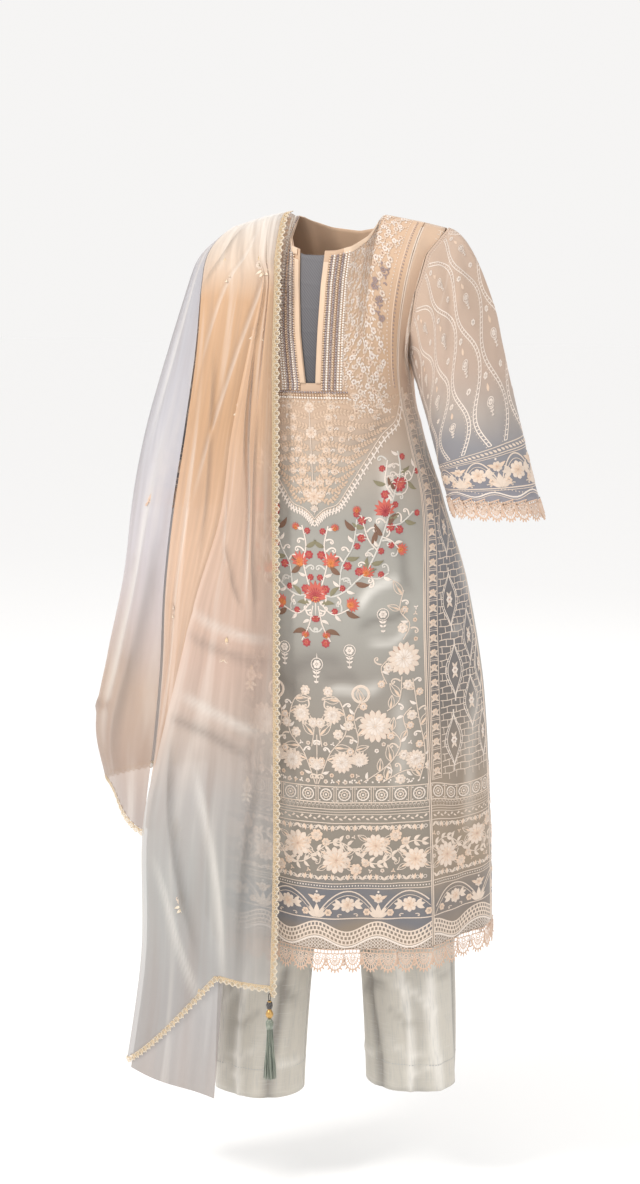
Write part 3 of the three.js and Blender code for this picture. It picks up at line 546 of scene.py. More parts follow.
def lay_cloth(name, cut, at, heights, wall, flip=False, lift=0.0, crease_shaded=True, skip=None):
    """A piece of cloth laid on a surface, from the place across and the height of each of its points."""
    s = cut_place(cut, at.ravel(), heights.ravel())
    flat = np.stack([s, heights.ravel()], -1) * MM
    faces = grid_faces(*at.shape, flip=flip, skip=skip)
    # Each point carries the grey of the painted crease shade where that is asked for.
    tone = cut.tone(s, heights) if crease_shaded else None
    return thicken(lay_mesh(name, cut.carry(s, heights, lift), faces, flat, tone), wall)


columns, rows, front_at = front_grid()
heights = np.broadcast_to(cut_height(rows), front_at.shape)
slit_first = int(np.argmin(np.abs(columns - SLIT_LEFT)))
slit_last = int(np.argmin(np.abs(columns - SLIT_RIGHT)))
foot_row = int(np.argmin(np.abs(rows - SLIT_FOOT_V)))
front = lay_cloth("front_panel_cloth", front_cut, front_at, heights, CLOTH_WALL,
                  skip=lambda i, j: slit_first <= i < slit_last and j >= foot_row)
dressed(front, front_lawn, "front_panel")

# ---------------------------------------------------------------- embroidery on the front panel
# Raised satin stitch in cream, coral, orange and brown thread, worked on the panel before it was sewn: a
# dense yoke, a pointed garland, a coloured spray in the middle, small sprigs and a deep flowered border.
CREAM, PALE, PEACH, ROSE = dye("#e8d5c4"), dye("#f2e4d8"), dye("#e8cdb6"), dye("#d3a894")
SHADE, SAND = dye("#bd9480"), dye("#d9bda4")
CORAL, RED, ORANGE, GOLD = dye("#d4685a"), dye("#b8434a"), dye("#e88a4c"), dye("#e9b566")
BROWN, OLIVE, MAUVE, SMOKE = dye("#7f5d49"), dye("#8b8468"), dye("#a8938f"), dye("#ded8cf")


class Threadwork:
    """Stitched shapes laid out on a flat cut, in mm, and then carried onto the cloth."""

    def __init__(self, seed=1):
        self.flat, self.lift, self.tint, self.faces = [], [], [], []
        self.count = 0
        self.draw = np.random.default_rng(seed)

    def add(self, flat, lift, faces, tint):
        self.flat.append(flat)
        self.lift.append(lift)
        shade = 1 + 0.10 * (self.draw.random() - 0.5)
        self.tint.append(np.tile(np.append(np.array(tint[:3]) * shade, 1.0), (len(flat), 1)))
        self.faces.append(faces + self.count)
        self.count += len(flat)

    def ribbon(self, path, wide, tint, high=0.7):
        """A line of satin stitch; wide is one width or one for each point of the path."""
        path = np.asarray(path, float)
        along = np.gradient(path, axis=0)
        along /= np.maximum(np.linalg.norm(along, axis=1, keepdims=True), 1e-6)
        off = np.stack([-along[:, 1], along[:, 0]], -1)
        half = (np.broadcast_to(wide, len(path)) / 2)[:, None]
        flat = np.stack([path + off * half, path, path - off * half], 1).reshape(-1, 2)
        lift = np.tile([0.12, 0.12 + high, 0.12], len(path))
        i = 3 * np.arange(len(path) - 1)
        left = np.stack([i, i + 1, i + 4, i + 3], -1)
        self.add(flat, lift, np.concatenate([left, left + 1]), tint)

    def dot(self, centre, radius, tint, high=0.7, sides=6):
        turn = np.arange(sides) * 2 * np.pi / sides
        ring = np.asarray(centre, float) + radius * np.stack([np.cos(turn), np.sin(turn)], -1)
        flat = np.concatenate([[centre], ring])
        lift = np.append([0.12 + high], np.full(sides, 0.12))
        k = np.arange(sides)
        nxt = (k + 1) % sides + 1
        self.add(flat, lift, np.stack([0 * k, k + 1, nxt, nxt], -1), tint)

    def ring(self, centre, radius, wide, tint, sides=14, high=0.6):
        turn = np.linspace(0, 2 * np.pi, sides + 1)
        self.ribbon(np.asarray(centre) + radius * np.stack([np.cos(turn), np.sin(turn)], -1), wide, tint,
                    high)

    def leaf(self, root, angle, long, wide, tint, bend=0.0, high=0.7, parts=5, petal=False):
        """A filled leaf, or a petal with a round end; angle in degrees from the +s direction."""
        t = np.linspace(0, 1, parts + 1) ** (0.7 if petal else 1)
        x, y = long * t, bend * long * t * (1 - t) * 4
        a = math.radians(angle)
        path = np.stack([x * math.cos(a) - y * math.sin(a), x * math.sin(a) + y * math.cos(a)], -1)
        broad = np.sin(np.pi * t ** 1.6) ** 0.6 if petal else np.sin(np.pi * t ** 0.8)
        self.ribbon(path + np.asarray(root), wide * np.nan_to_num(broad) + 0.25, tint, high)

    def open_leaf(self, root, angle, long, wide, tint, line=1.0):
        """A leaf drawn in outline, with its rib."""
        t = np.linspace(0, 1, 8)
        a = math.radians(angle)
        for side in (-1, 0, 1):
            x, y = long * t, side * wide / 2 * np.sin(np.pi * t ** 0.8)
            path = np.stack([x * math.cos(a) - y * math.sin(a), x * math.sin(a) + y * math.cos(a)], -1)
            self.ribbon(path + np.asarray(root), line, tint, 0.5)

    def flower(self, centre, radius, petals, tint, heart, turn=0.0, inner=None):
        """Round flower: petals, a shorter inner ring where it has one, and a heart."""
        centre = np.asarray(centre, float)
        if radius > 8:
            self.dot(centre, radius * 0.82, SHADE, 0.2, 2 * petals)
        for k in range(petals):
            angle = turn + 360 * k / petals
            a = math.radians(angle)
            root = centre + 0.18 * radius * np.array([math.cos(a), math.sin(a)])
            self.leaf(root, angle, 0.82 * radius, 4.3 * radius / petals, tint, petal=True)
        if inner is not None:
            for k in range(petals):
                angle = turn + 360 * (k + 0.5) / petals
                self.leaf(centre, angle, 0.58 * radius, 3.2 * radius / petals, inner, high=1.3, petal=True)
        self.dot(centre, radius * 0.2, heart, 1.6)

    def lotus(self, centre, size, tint, tip, up=90.0, spread=110.0, petals=9):
        """A fan of pointed petals over a small cup."""
        centre = np.asarray(centre, float)
        for k in range(petals):
            share = k / (petals - 1)
            angle = up + spread * (share - 0.5) * 2
            long = size * (0.72 + 0.28 * math.sin(math.pi * share))
            self.leaf(centre, angle, long, size * 0.34, tint, high=1.0)
            self.leaf(centre, angle + 8, long * 0.55, size * 0.2, tip, high=1.5, parts=3)
        for k in range(5):
            self.leaf(centre, up + 180 + (k - 2) * 26, size * 0.42, size * 0.2, tip, high=1.2, parts=3)

    def scroll(self, start, angle, size, curl, tint, wide=1.5):
        """A tendril that curls up at its end; curl is +1 or -1."""
        t = np.linspace(0, 1, 17)
        heading = math.radians(angle) + curl * (0.5 * t + 5.2 * t ** 2)
        step = size * 2.3 / 16 * (1 - 0.62 * t)
        path = np.stack([np.cumsum(step * np.cos(heading)), np.cumsum(step * np.sin(heading))], -1)
        self.ribbon(path + np.asarray(start), wide * (1.15 - 0.5 * t), tint)
        self.dot(path[-1] + np.asarray(start), wide * 0.75, tint)

    def spray(self, path, tint, leaf=5.0, wide=2.4, step=5.0, stem=1.1):
        """A stem with small leaves to both sides and one at its end."""
        path = soft_path(path)
        self.ribbon(path, stem, tint)
        run = run_along(path)
        for d in np.arange(step, run[-1], step):
            at = np.array([np.interp(d, run, path[:, k]) for k in (0, 1)])
            ahead = np.array([np.interp(min(d + 1, run[-1]), run, path[:, k]) for k in (0, 1)])
            angle = math.degrees(math.atan2(*(ahead - at)[::-1])) if d + 1 < run[-1] else 90
            for side in (-1, 1):
                self.leaf(at, angle + side * 48, leaf * (1 - 0.4 * d / run[-1]), wide, tint, parts=4)
        end = path[-1] - path[-2]
        self.leaf(path[-1], math.degrees(math.atan2(end[1], end[0])), leaf, wide, tint, parts=4)

    def trail(self, path, step, motifs, stem, wide=1.8, lean=52):
        """A stem with motifs set to both sides in turn; a motif is (kind, size, tint)."""
        path = soft_path(path)
        self.ribbon(path, wide, stem, 0.9)
        run = run_along(path)
        for k, d in enumerate(np.arange(step * 0.6, run[-1] + 0.5, step)):
            at, back = (np.array([np.interp(x, run, path[:, j]) for j in (0, 1)]) for x in (d, d - 1))
            kind, size, tint = motifs[k % len(motifs)]
            side = -1 if k % 2 else 1
            angle = math.degrees(math.atan2(*(at - back)[::-1])) + side * lean
            if kind == "leaf":
                self.leaf(at, angle, size, size * 0.36, tint, 0.12 * side, 1.0, 6)
            elif kind == "open":
                self.open_leaf(at, angle, size, size * 0.44, tint, 1.2)
                self.leaf(at, angle, size * 0.6, size * 0.14, PEACH)
            elif kind == "curl":
                self.scroll(at, angle, size, side, tint, 2.3)
            else:
                away = 1.5 * size * np.array([math.cos(math.radians(angle)), math.sin(math.radians(angle))])
                self.ribbon([at, at + away], 1.2, stem)
                self.flower(at + away, size, 7, tint, GOLD if kind == "bloom" else ROSE, 12,
                            CORAL if kind == "bloom" else PALE)

    def sprig(self, centre, size, tint):
        """The small sprig of the ground: a round flower over a stem with crossed leaves."""
        x, y = centre
        self.ring((x, y), size * 0.5, 1.3, tint)
        self.flower((x, y), size * 0.36, 6, tint, tint)
        self.ribbon([(x, y - size * 0.5), (x, y - size * 1.55)], 1.2, tint)
        for drop, reach in ((0.78, 0.42), (1.1, 0.36), (1.5, 0.24)):
            for side in (0, 180):
                rise = 35 if side == 0 else -35
                self.leaf((x, y - size * drop), side + rise, size * reach, size * 0.16, tint, parts=4)

    def mirrored(self, start, middle=0.0):
        """Adds the mirror image of all shapes from the given one on."""
        for k in range(start, len(self.flat)):
            flat = self.flat[k] * [-1, 1] + [2 * middle, 0]
            self.flat.append(flat)
            self.lift.append(self.lift[k])
            self.tint.append(self.tint[k])
            base = self.faces[k].min()
            self.faces.append((self.faces[k] - base)[:, ::-1] + self.count)
            self.count += len(flat)

    def carried(self, name, cut, finish, lift=0.5):
        """The work as one mesh on the cloth of a panel."""
        flat, raised = np.concatenate(self.flat), np.concatenate(self.lift)
        points = cut.carry(flat[:, 0], flat[:, 1], raised + lift)
        faces = np.concatenate(self.faces)
        faces = faces if cut.flip > 0 else faces[:, ::-1]
        faces = [tuple(dict.fromkeys(f)) for f in faces.tolist()]
        made = lay_mesh(name, points, faces, flat * MM, np.concatenate(self.tint))
        made.data.materials.append(finish)
        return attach(made, "root")

    def as_unit(self, name):
        """The work as one loose unit, flat in its own x, y plane."""
        flat, raised = np.concatenate(self.flat), np.concatenate(self.lift)
        faces = [tuple(dict.fromkeys(f)) for f in np.concatenate(self.faces).tolist()]
        return lay_mesh(name, np.column_stack([flat, raised]), faces, flat * MM, np.concatenate(self.tint))

    def let_down(self, deep, from_s, top, foot):
        """Lowers the work by up to deep away from a seam; the foot keeps its height."""
        for flat in self.flat:
            away = smooth(np.abs(flat[:, 0]) / from_s)
            flat[:, 1] -= deep * away * np.clip((flat[:, 1] - foot) / (top - foot), 0, 1)


def run_along(points):
    """How far along a line each of its points lies."""
    return np.concatenate([[0], np.cumsum(np.linalg.norm(np.diff(points, axis=0), axis=1))])


def soft_path(points, parts=8):
    """A smooth line through a few points."""
    points = np.asarray(points, float)
    rows = np.column_stack([np.arange(len(points)), points])
    return read_rows(rows, np.linspace(0, len(points) - 1, (len(points) - 1) * parts + 1))[:, 1:]


def thread_finish(name, roughness=0.45, sheen=0.4):
    """Twisted silky thread: the colour comes from the work, and fine stitches run across it."""
    paint = Paint(name, Sheen_Weight=sheen, Sheen_Roughness=0.3, Specular_IOR_Level=0.4)
    colour = paint.node("ShaderNodeAttribute", {"attribute_name": "thread"})
    flat, across, up = paint.cut()
    stitch = (across * 0.8 + up).wave(0.0009)
    shade = paint.mix(stitch * 0.16, colour, dye("#8d7a6c"))
    paint.bump(stitch, 0.35, 0.0004)
    return paint.set(Base_Color=shade, Roughness=roughness + stitch * 0.12)


silk_thread = thread_finish("silk_thread")


def sewing_tree():
    """Geometry nodes that set a unit on every point, square to the cloth, in one size."""
    tree = bpy.data.node_groups.new("sewn_units", "GeometryNodeTree")
    for label, kind in (("Places", "Geometry"), ("Unit", "Object"),
                        ("Finish", "Material"), ("Size", "Float")):
        tree.interface.new_socket(name=label, in_out="INPUT", socket_type=f"NodeSocket{kind}")
    tree.interface.new_socket(name="Sewn", in_out="OUTPUT", socket_type="NodeSocketGeometry")
    start, finish = tree.nodes.new("NodeGroupInput"), tree.nodes.new("NodeGroupOutput")
    unit = tree.nodes.new("GeometryNodeObjectInfo")
    unit.inputs["As Instance"].default_value = True
    turn = tree.nodes.new("FunctionNodeAxesToRotation")
    turn.primary_axis, turn.secondary_axis = "Z", "Y"
    for label, socket in (("outward", "Primary Axis"), ("upward", "Secondary Axis")):
        named = tree.nodes.new("GeometryNodeInputNamedAttribute")
        named.data_type = "FLOAT_VECTOR"
        named.inputs["Name"].default_value = label
        tree.links.new(named.outputs["Attribute"], turn.inputs[socket])
    place = tree.nodes.new("GeometryNodeInstanceOnPoints")
    real = tree.nodes.new("GeometryNodeRealizeInstances")
    dress = tree.nodes.new("GeometryNodeSetMaterial")
    tree.links.new(start.outputs["Places"], place.inputs["Points"])
    tree.links.new(start.outputs["Unit"], unit.inputs["Object"])
    tree.links.new(unit.outputs["Geometry"], place.inputs["Instance"])
    tree.links.new(turn.outputs["Rotation"], place.inputs["Rotation"])
    tree.links.new(start.outputs["Size"], place.inputs["Scale"])
    tree.links.new(place.outputs["Instances"], real.inputs["Geometry"])
    tree.links.new(real.outputs["Geometry"], dress.inputs["Geometry"])
    tree.links.new(start.outputs["Finish"], dress.inputs["Material"])
    tree.links.new(dress.outputs["Geometry"], finish.inputs["Sewn"])
    return tree


SEWN = sewing_tree()


def sew_on(name, unit, points, outward, upward, finish, size=1.0):
    """Copies of a unit on points given in mm, as one mesh; the unit lies in its own x, y plane."""
    carrier = lay_mesh(name, points, [])
    for label, values in (("outward", outward), ("upward", upward)):
        layer = carrier.data.attributes.new(label, "FLOAT_VECTOR", "POINT")
        layer.data.foreach_set("vector", np.ascontiguousarray(values, dtype=np.float32).ravel())
    modifier = carrier.modifiers.new("sewn", "NODES")
    modifier.node_group = SEWN
    sockets = {item.name: item.identifier for item in SEWN.interface.items_tree if item.in_out == "INPUT"}
    modifier[sockets["Unit"]] = unit
    modifier[sockets["Finish"]] = finish
    modifier[sockets["Size"]] = size
    graph = bpy.context.evaluated_depsgraph_get()
    sewn = bpy.data.meshes.new_from_object(carrier.evaluated_get(graph))
    carrier.modifiers.clear()
    carrier.data = sewn
    sewn.materials.clear()
    sewn.materials.append(finish)
    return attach(carrier, "root")


def set_aside(*units):
    """Takes away the loose units once they are sewn on."""
    for unit in units:
        bpy.data.objects.remove(unit)


def bead_unit(name, radius, tall=0.8):
    """A small faceted bead, flattened a little on the cloth."""
    turn = np.arange(6) * np.pi / 3
    ring = np.stack([np.cos(turn), np.sin(turn)], -1)
    low = np.column_stack([ring * radius, np.full(6, radius * tall * 0.4)])
    high = np.column_stack([ring * radius * 0.7, np.full(6, radius * tall * 1.3)])
    points = np.concatenate([low * [0.8, 0.8, 0], low, high, [[0, 0, radius * tall * 1.7]]])
    faces = []
    for k in range(6):
        nxt = (k + 1) % 6
        faces += [(k, nxt, nxt + 6, k + 6), (k + 6, nxt + 6, nxt + 12, k + 12), (k + 12, nxt + 12, 18)]
    return lay_mesh(name, points, faces)


def bead_finish(name, colour, metallic=0.0, roughness=0.18, glint_share=0.5):
    paint = Paint(name, Metallic=metallic, Coat_Weight=0.3)
    spot = paint.place()[0]
    # White specks of painted glint mixed into the bead colour; the same noise varies the roughness.
    glint = paint.noise(spot, 900.0)
    shade = paint.mix(glint.between(0.35, 0.7) * glint_share, dye(colour), dye("#ffffff"))
    return paint.set(Base_Color=shade, Roughness=roughness + glint * 0.2)


# The worked border runs round the whole hem. Heights of its rows, in mm, from the top row down.
RING_TOP, RING_FOOT, RING_WIDE = -829, -853, 27
NET_FOOT, ROPE_TOP, ROPE_FOOT = -863, -871, -882
VINE_MIDDLE, VINE_SWING, VINE_WIDE = -929, 17, 118
DOTS_HIGH, MEDAL_TOP, MEDAL_FOOT, MEDAL_WIDE = -980, -986, -1030, 93
BRICK_MIDDLE, BRICK_SWING, BRICK_TALL = -1053, 8, 6.6


def places_across(cut, height, step, margin):
    """Even places that fill a panel's width at a height."""
    left, right = cut.edges(height)
    count = max(round((right - left - 2 * margin) / step), 1)
    return left + margin + (right - left - 2 * margin) * (np.arange(count) + 0.5) / count


def row_line(work, cut, height, wide, tint, swing=0.0, period=88.0, phase=0.0, high=0.5):
    left, right = cut.edges(height)
    s = np.linspace(left + 1.5, right - 1.5, max(int((right - left) / 6), 4))
    work.ribbon(np.stack([s, height + swing * np.sin(2 * np.pi * (s - phase) / period)], -1), wide, tint,
                high)


def hem_border(work, cut):
    for height, wide in ((RING_TOP, 1.6), (RING_FOOT, 1.6), (NET_FOOT, 1.2), (-867, 0.9), (ROPE_TOP, 1.1),
                         (ROPE_FOOT - 2, 1.3), (DOTS_HIGH + 4, 1.3), (MEDAL_TOP + 2, 1.3), (MEDAL_FOOT, 1.6)):
        row_line(work, cut, height, wide, CREAM)
    middle = (RING_TOP + RING_FOOT) / 2
    for s in places_across(cut, middle, RING_WIDE, 2):
        work.ring((s, middle), 8.4, 1.8, PALE)
        work.ring((s, middle), 4.4, 1.5, CREAM, 10)
        work.dot((s, middle), 1.8, PALE)
        for k in range(8):
            a = math.radians(22.5 + 45 * k)
            spoke = np.array([math.cos(a), math.sin(a)])
            work.ribbon([(s, middle) + spoke * 5, (s, middle) + spoke * 8], 0.8, CREAM, 0.4)
        for edge in (-RING_WIDE / 2 + 1.4, RING_WIDE / 2 - 1.4):
            work.ribbon([(s + edge, RING_TOP), (s + edge, RING_FOOT)], 1.2, CREAM)
            for corner in (RING_TOP - 3, RING_FOOT + 3):
                work.dot((s + edge * 0.8, corner), 1.2, PALE, sides=5)
    for s in places_across(cut, NET_FOOT, 6.0, 3):
        work.ribbon([(s - 3, RING_FOOT - 1), (s, NET_FOOT + 1), (s + 3, RING_FOOT - 1)], 0.8, CREAM, 0.4)
        work.dot((s, RING_FOOT - 4), 0.9, PALE, sides=5)
    for k, s in enumerate(places_across(cut, ROPE_FOOT, 6.6, 4)):
        lean = 28 if k % 2 else -28
        work.leaf((s - 3, (ROPE_TOP + ROPE_FOOT) / 2), lean, 6.4, 2.6, CREAM, parts=4)
        if k % 2:
            work.dot((s, ROPE_TOP - 2.4), 0.9, PALE, sides=5)
    for s in places_across(cut, DOTS_HIGH, 4.4, 3):
        work.dot((s, DOTS_HIGH), 1.2, PALE, sides=5)
    flowered_vine(work, cut)
    left, right = cut.edges(VINE_MIDDLE)
    fill_gaps(work, ((left + 5, right - 5), (VINE_MIDDLE - 38, VINE_MIDDLE + 38)), 8.5, 3.9,
              (CREAM, PEACH, CREAM))
    medallions(work, cut)
    brick_wave(work, cut)


def fill_gaps(work, outline, cell, leaf, tints):
    """Small three-leaved sprigs wherever the ground between the larger motifs is still open."""
    taken = {tuple(k) for flat in work.flat for k in np.floor(np.asarray(flat) / cell).astype(int).tolist()}
    for i, k in enumerate(range(int(min(outline[0]) // cell), int(max(outline[0]) // cell))):
        for j, m in enumerate(range(int(min(outline[1]) // cell), int(max(outline[1]) // cell))):
            if (k, m) in taken:
                continue
            centre = (np.array([k, m]) + 0.5 + work.draw.uniform(-0.12, 0.12, 2)) * cell
            turn = work.draw.uniform(0, 360)
            tint = tints[(i + j) % len(tints)]
            if (i + 2 * j) % 3:
                for petal in range(3):
                    work.leaf(centre, turn + 120 * petal, leaf, leaf * 0.5, tint, parts=4)
            else:
                work.flower(centre, leaf * 0.85, 5, tint, SHADE, turn)


def flowered_vine(work, cut):
    """Flowers and leaves along a waving stem, with small tendrils in the hollows."""
    left, right = cut.edges(VINE_MIDDLE)
    s = np.arange(left + 3, right - 3, 4.0)
    work.ribbon(np.stack([s, VINE_MIDDLE + VINE_SWING * np.sin(2 * np.pi * s / VINE_WIDE)], -1), 1.8, CREAM)
    half = VINE_WIDE / 2
    for k in range(int(left // half), int(right // half) + 1):
        side = -1 if k % 2 else 1
        crest, cross = (k + 0.5) * half, k * half
        if left + 20 < crest < right - 20:
            centre = (crest, VINE_MIDDLE - side * (VINE_SWING - 6))
            size = 21 if k % 4 in (0, 3) else 18
            work.flower(centre, size, 11, CREAM, ROSE, 10 * k, PEACH)
            work.flower(centre, size * 0.55, 8, PALE, ROSE, 10 * k + 20)
            for lean in (-150, -30, 30, 150):
                foot = (centre[0] + size * 0.8 * math.cos(math.radians(lean)),
                        centre[1] + size * 0.8 * math.sin(math.radians(lean)))
                work.open_leaf(foot, lean, 17, 8, CREAM, 1.1)
                work.leaf(foot, lean, 10, 3, PEACH)
        if left + 12 < cross < right - 12:
            for step, size in ((0.0, 9.5), (0.24, 6.5), (-0.24, 6.5)):
                place = cross + step * half
                work.flower((place, VINE_MIDDLE + side * (26 - 40 * abs(step))), size, 7, PEACH, CREAM, 15,
                            CREAM)
            work.scroll((cross - 5, VINE_MIDDLE - 2), side * 100, 15, side, CREAM, 1.5)
            work.scroll((cross + 5, VINE_MIDDLE - 6), side * -80, 13, -side, CREAM, 1.5)
            work.open_leaf((cross + 8, VINE_MIDDLE + 2), side * -50, 20, 9, CREAM, 1.2)
            work.open_leaf((cross - 8, VINE_MIDDLE), 180 + side * 50, 18, 8, CREAM, 1.2)
    for k, s0 in enumerate(np.arange(left + 8, right - 8, 11.0)):
        height = VINE_MIDDLE + VINE_SWING * math.sin(2 * math.pi * s0 / VINE_WIDE)
        for side in (-1, 1):
            work.leaf((s0, height), side * (62 - 20 * (k % 3)), 12, 4.8, CREAM, 0.12 * side)
            edge = VINE_MIDDLE + side * 42
            work.leaf((s0, edge), -side * (50 + 25 * (k % 3)), 10, 4, PEACH if k % 3 else CREAM)
            work.leaf((s0, edge), 180 + side * (50 + 25 * (k % 3)), 9, 3.6, CREAM)
            work.ring((s0 + 5.5, edge - side * 4), 2.4, 1.0, PALE, 8)


def medallions(work, cut, top=MEDAL_TOP, foot=MEDAL_FOOT, wide=MEDAL_WIDE):
    """Arches that stand on a row of stitches, each over a flower with its leaves."""
    middle_high = (top + foot) / 2
    left, right = cut.edges(middle_high)
    tall = top - foot
    for k in range(int(left // wide) - 1, int(right // wide) + 2):
        middle = (k + 0.5) * wide
        for swell in (1.0, 0.84):
            t = np.linspace(0, 1, 17)
            s = middle + (t - 0.5) * wide * (1 if swell == 1 else 0.9)
            height = foot + 2 + (tall - 4) * swell * np.sin(np.pi * t) ** 0.8
            inside = (s > left + 2) & (s < right - 2)
            if inside.sum() > 3:
                work.ribbon(np.stack([s, height], -1)[inside], 1.9 if swell == 1 else 1.0, CREAM)
        if left + 22 < middle < right - 22:
            work.flower((middle, middle_high - 0.02 * tall), tall * 0.27, 8, CREAM, ROSE, 0, PEACH)
            for side in (-1, 1):
                for lean in (14, -24, 52):
                    work.leaf((middle + side * tall * 0.24, middle_high - 2), 90 - side * (90 - lean),
                              tall * 0.3,
                              tall * 0.14, CREAM)
                work.scroll((middle + side * 8, foot + 6), 90 - side * 70, tall * 0.17, -side, CREAM, 1.3)
                work.flower((middle + side * wide * 0.31, foot + tall * 0.22), tall * 0.13, 6, PEACH, CREAM)
        join = k * wide
        if left + 12 < join < right - 12:
            work.leaf((join, foot + 1), 90, tall * 0.5, tall * 0.2, CREAM)
            work.flower((join, top - tall * 0.3), tall * 0.17, 7, CREAM, ROSE, 10, PEACH)
            for side in (-1, 1):
                for lean, long in ((38, 0.46), (62, 0.4)):
                    work.leaf((join, foot + 2), 90 - side * lean, tall * long, tall * 0.15, CREAM)
                work.leaf((join, top - tall * 0.34), 90 - side * 64, tall * 0.34, tall * 0.12, PEACH)
            work.dot((join, top - 3), 1.8, PALE)


def brick_wave(work, cut):
    """Three waving courses of small blocks over a solid waving line."""
    left, right = cut.edges(BRICK_MIDDLE)

    def swing(s):
        return BRICK_MIDDLE + BRICK_SWING * np.cos(2 * np.pi * s / MEDAL_WIDE)
    s = np.linspace(left + 1.5, right - 1.5, max(int((right - left) / 5), 4))
    drops = [BRICK_TALL * k for k in (1.5, 0.5, -0.5, -1.5)]
    for drop in drops:
        work.ribbon(np.stack([s, swing(s) + drop], -1), 2.2, CREAM, 0.5)
    work.ribbon(np.stack([s, swing(s) - 1.5 * BRICK_TALL - 3.4], -1), 2.6, PALE, 0.8)
    for course, drop in enumerate(drops[:3]):
        for s0 in np.arange(left + 3 + 2.9 * (course % 2), right - 2, 5.8):
            top = swing(s0) + drop
            work.ribbon([(s0, top), (s0, top - BRICK_TALL)], 2.3, CREAM, 0.4)
    for s0 in np.arange(left + 4, right - 3, 5.0):
        foot = swing(s0) - 1.5 * BRICK_TALL - 4
        while foot > HEM_Z + 3.4:
            work.ring((s0, foot - 3), 2.3, 0.9, PALE, 7, 0.4)
            foot -= 5.2


# Yoke: small flowers and curled sprigs, close together, between the beaded rows and the seam.
yoke = Threadwork(3)
JAAL_TALL, JAAL_WIDE = 7.0, 7.4
PATCH, PATCH_WIDE, PATCH_TALL = (134, -148), 20, 44     # a patch worked in dusky thread
for row, height in enumerate(np.arange(-281, -20, JAAL_TALL)):
    for col in range(23):
        s = 46 + JAAL_WIDE * (col + 0.5 * (row % 2)) + yoke.draw.uniform(-1.2, 1.2)
        inner = 50 if height > -246 else 64
        if s > front_cut.edges(height)[1] - 24 or s < inner:
            continue
        kind = (row + 2 * col) % 3
        tint = (CREAM, PALE, PALE, PEACH)[(row + col) % 4]
        off = math.hypot((s - PATCH[0]) / PATCH_WIDE, (height - PATCH[1]) / PATCH_TALL)
        if off < 1:
            tint = (MAUVE, MAUVE, CREAM)[col % 3]
        if kind == 0:
            yoke.flower((s, height), 4.2, 5, tint, ROSE, yoke.draw.uniform(0, 60))
        elif kind == 1:
            yoke.scroll((s - 2, height - 3), yoke.draw.uniform(0, 360), 5.4, 1 if col % 2 else -1, tint, 1.5)
        else:
            for k in range(3):
                yoke.leaf((s, height), 120 * k + yoke.draw.uniform(0, 60), 4.8, 2.4, tint, parts=4)
for height in np.arange(-248, -20, 4.6):
    edge_s = front_cut.edges(height)[1]
    yoke.dot((edge_s - 9.5, height), 1.25, MAUVE, 0.9, 6)
    yoke.dot((edge_s - 19, height + 2), 1.0, PALE, 0.9, 5)
yoke.mirrored(0)

# The pointed garland that closes the yoke, and the bouquet inside it.
garland = Threadwork(5)
EDGE_OF_V = soft_path([(150, -262), (134, -300), (108, -322), (84, -353), (64, -382), (50, -403), (37, -421),
                       (19, -428), (8, -437), (0, -447)])
garland.ribbon(EDGE_OF_V, 1.8, PALE, 0.9)
garland.ribbon(EDGE_OF_V[:-4] + [-3.2, 6.5], 1.3, CREAM)
for k in range(0, len(EDGE_OF_V) - 3, 2):
    x, y = EDGE_OF_V[k]
    ahead = EDGE_OF_V[k + 2] - EDGE_OF_V[k]
    angle = math.degrees(math.atan2(ahead[1], ahead[0]))
    garland.leaf((x, y), angle - 115, 6, 2.8, PALE)
    garland.leaf((x, y), angle + 60, 5.5, 2.4, PALE)
    garland.dot((x - 3, y + 3.4), 1.2, PEACH, sides=5)
for k, y in enumerate(np.arange(-264, -406, -15.5)):
    reach = float(np.interp(y, EDGE_OF_V[::-1, 1], EDGE_OF_V[::-1, 0])) - 15
    garland.spray([(1, y - 12), (reach * 0.3, y - 2), (reach * 0.65, y - 8), (reach, y + 3)], SAND, 7.5,
                  3.2, 5, 1.2)
    for j, share in enumerate((0.22, 0.5, 0.78)[:max(int(reach // 22), 1)]):
        garland.flower((reach * share + 4 * (k % 2), y + 5), 6.5 - j, 7, PEACH, ROSE, 12, CREAM)
        garland.scroll((reach * share + 10, y + 2), 60 + 40 * j, 7, (-1) ** (j + k), PALE, 1.3)
for top, wide in ((-272, 120), (-300, 96), (-324, 76), (-348, 52), (-372, 34)):
    fill_gaps(garland, ((2, wide), (top - 24, top)), 8.0, 3.0, (SAND, CREAM, SAND))
garland.mirrored(0)
for height, size in ((-276, 8), (-312, 9), (-350, 8), (-386, 6)):
    garland.flower((0, height), size, 8, CREAM, ROSE, 22, PEACH)
garland.lotus((0, -424), 9, CREAM, PALE, 90, 80, 7)
garland.flower((0, -404), 13, 10, CREAM, ROSE, 0, PEACH)
garland.ribbon([(0, -262), (0, -430)], 1.4, CREAM)

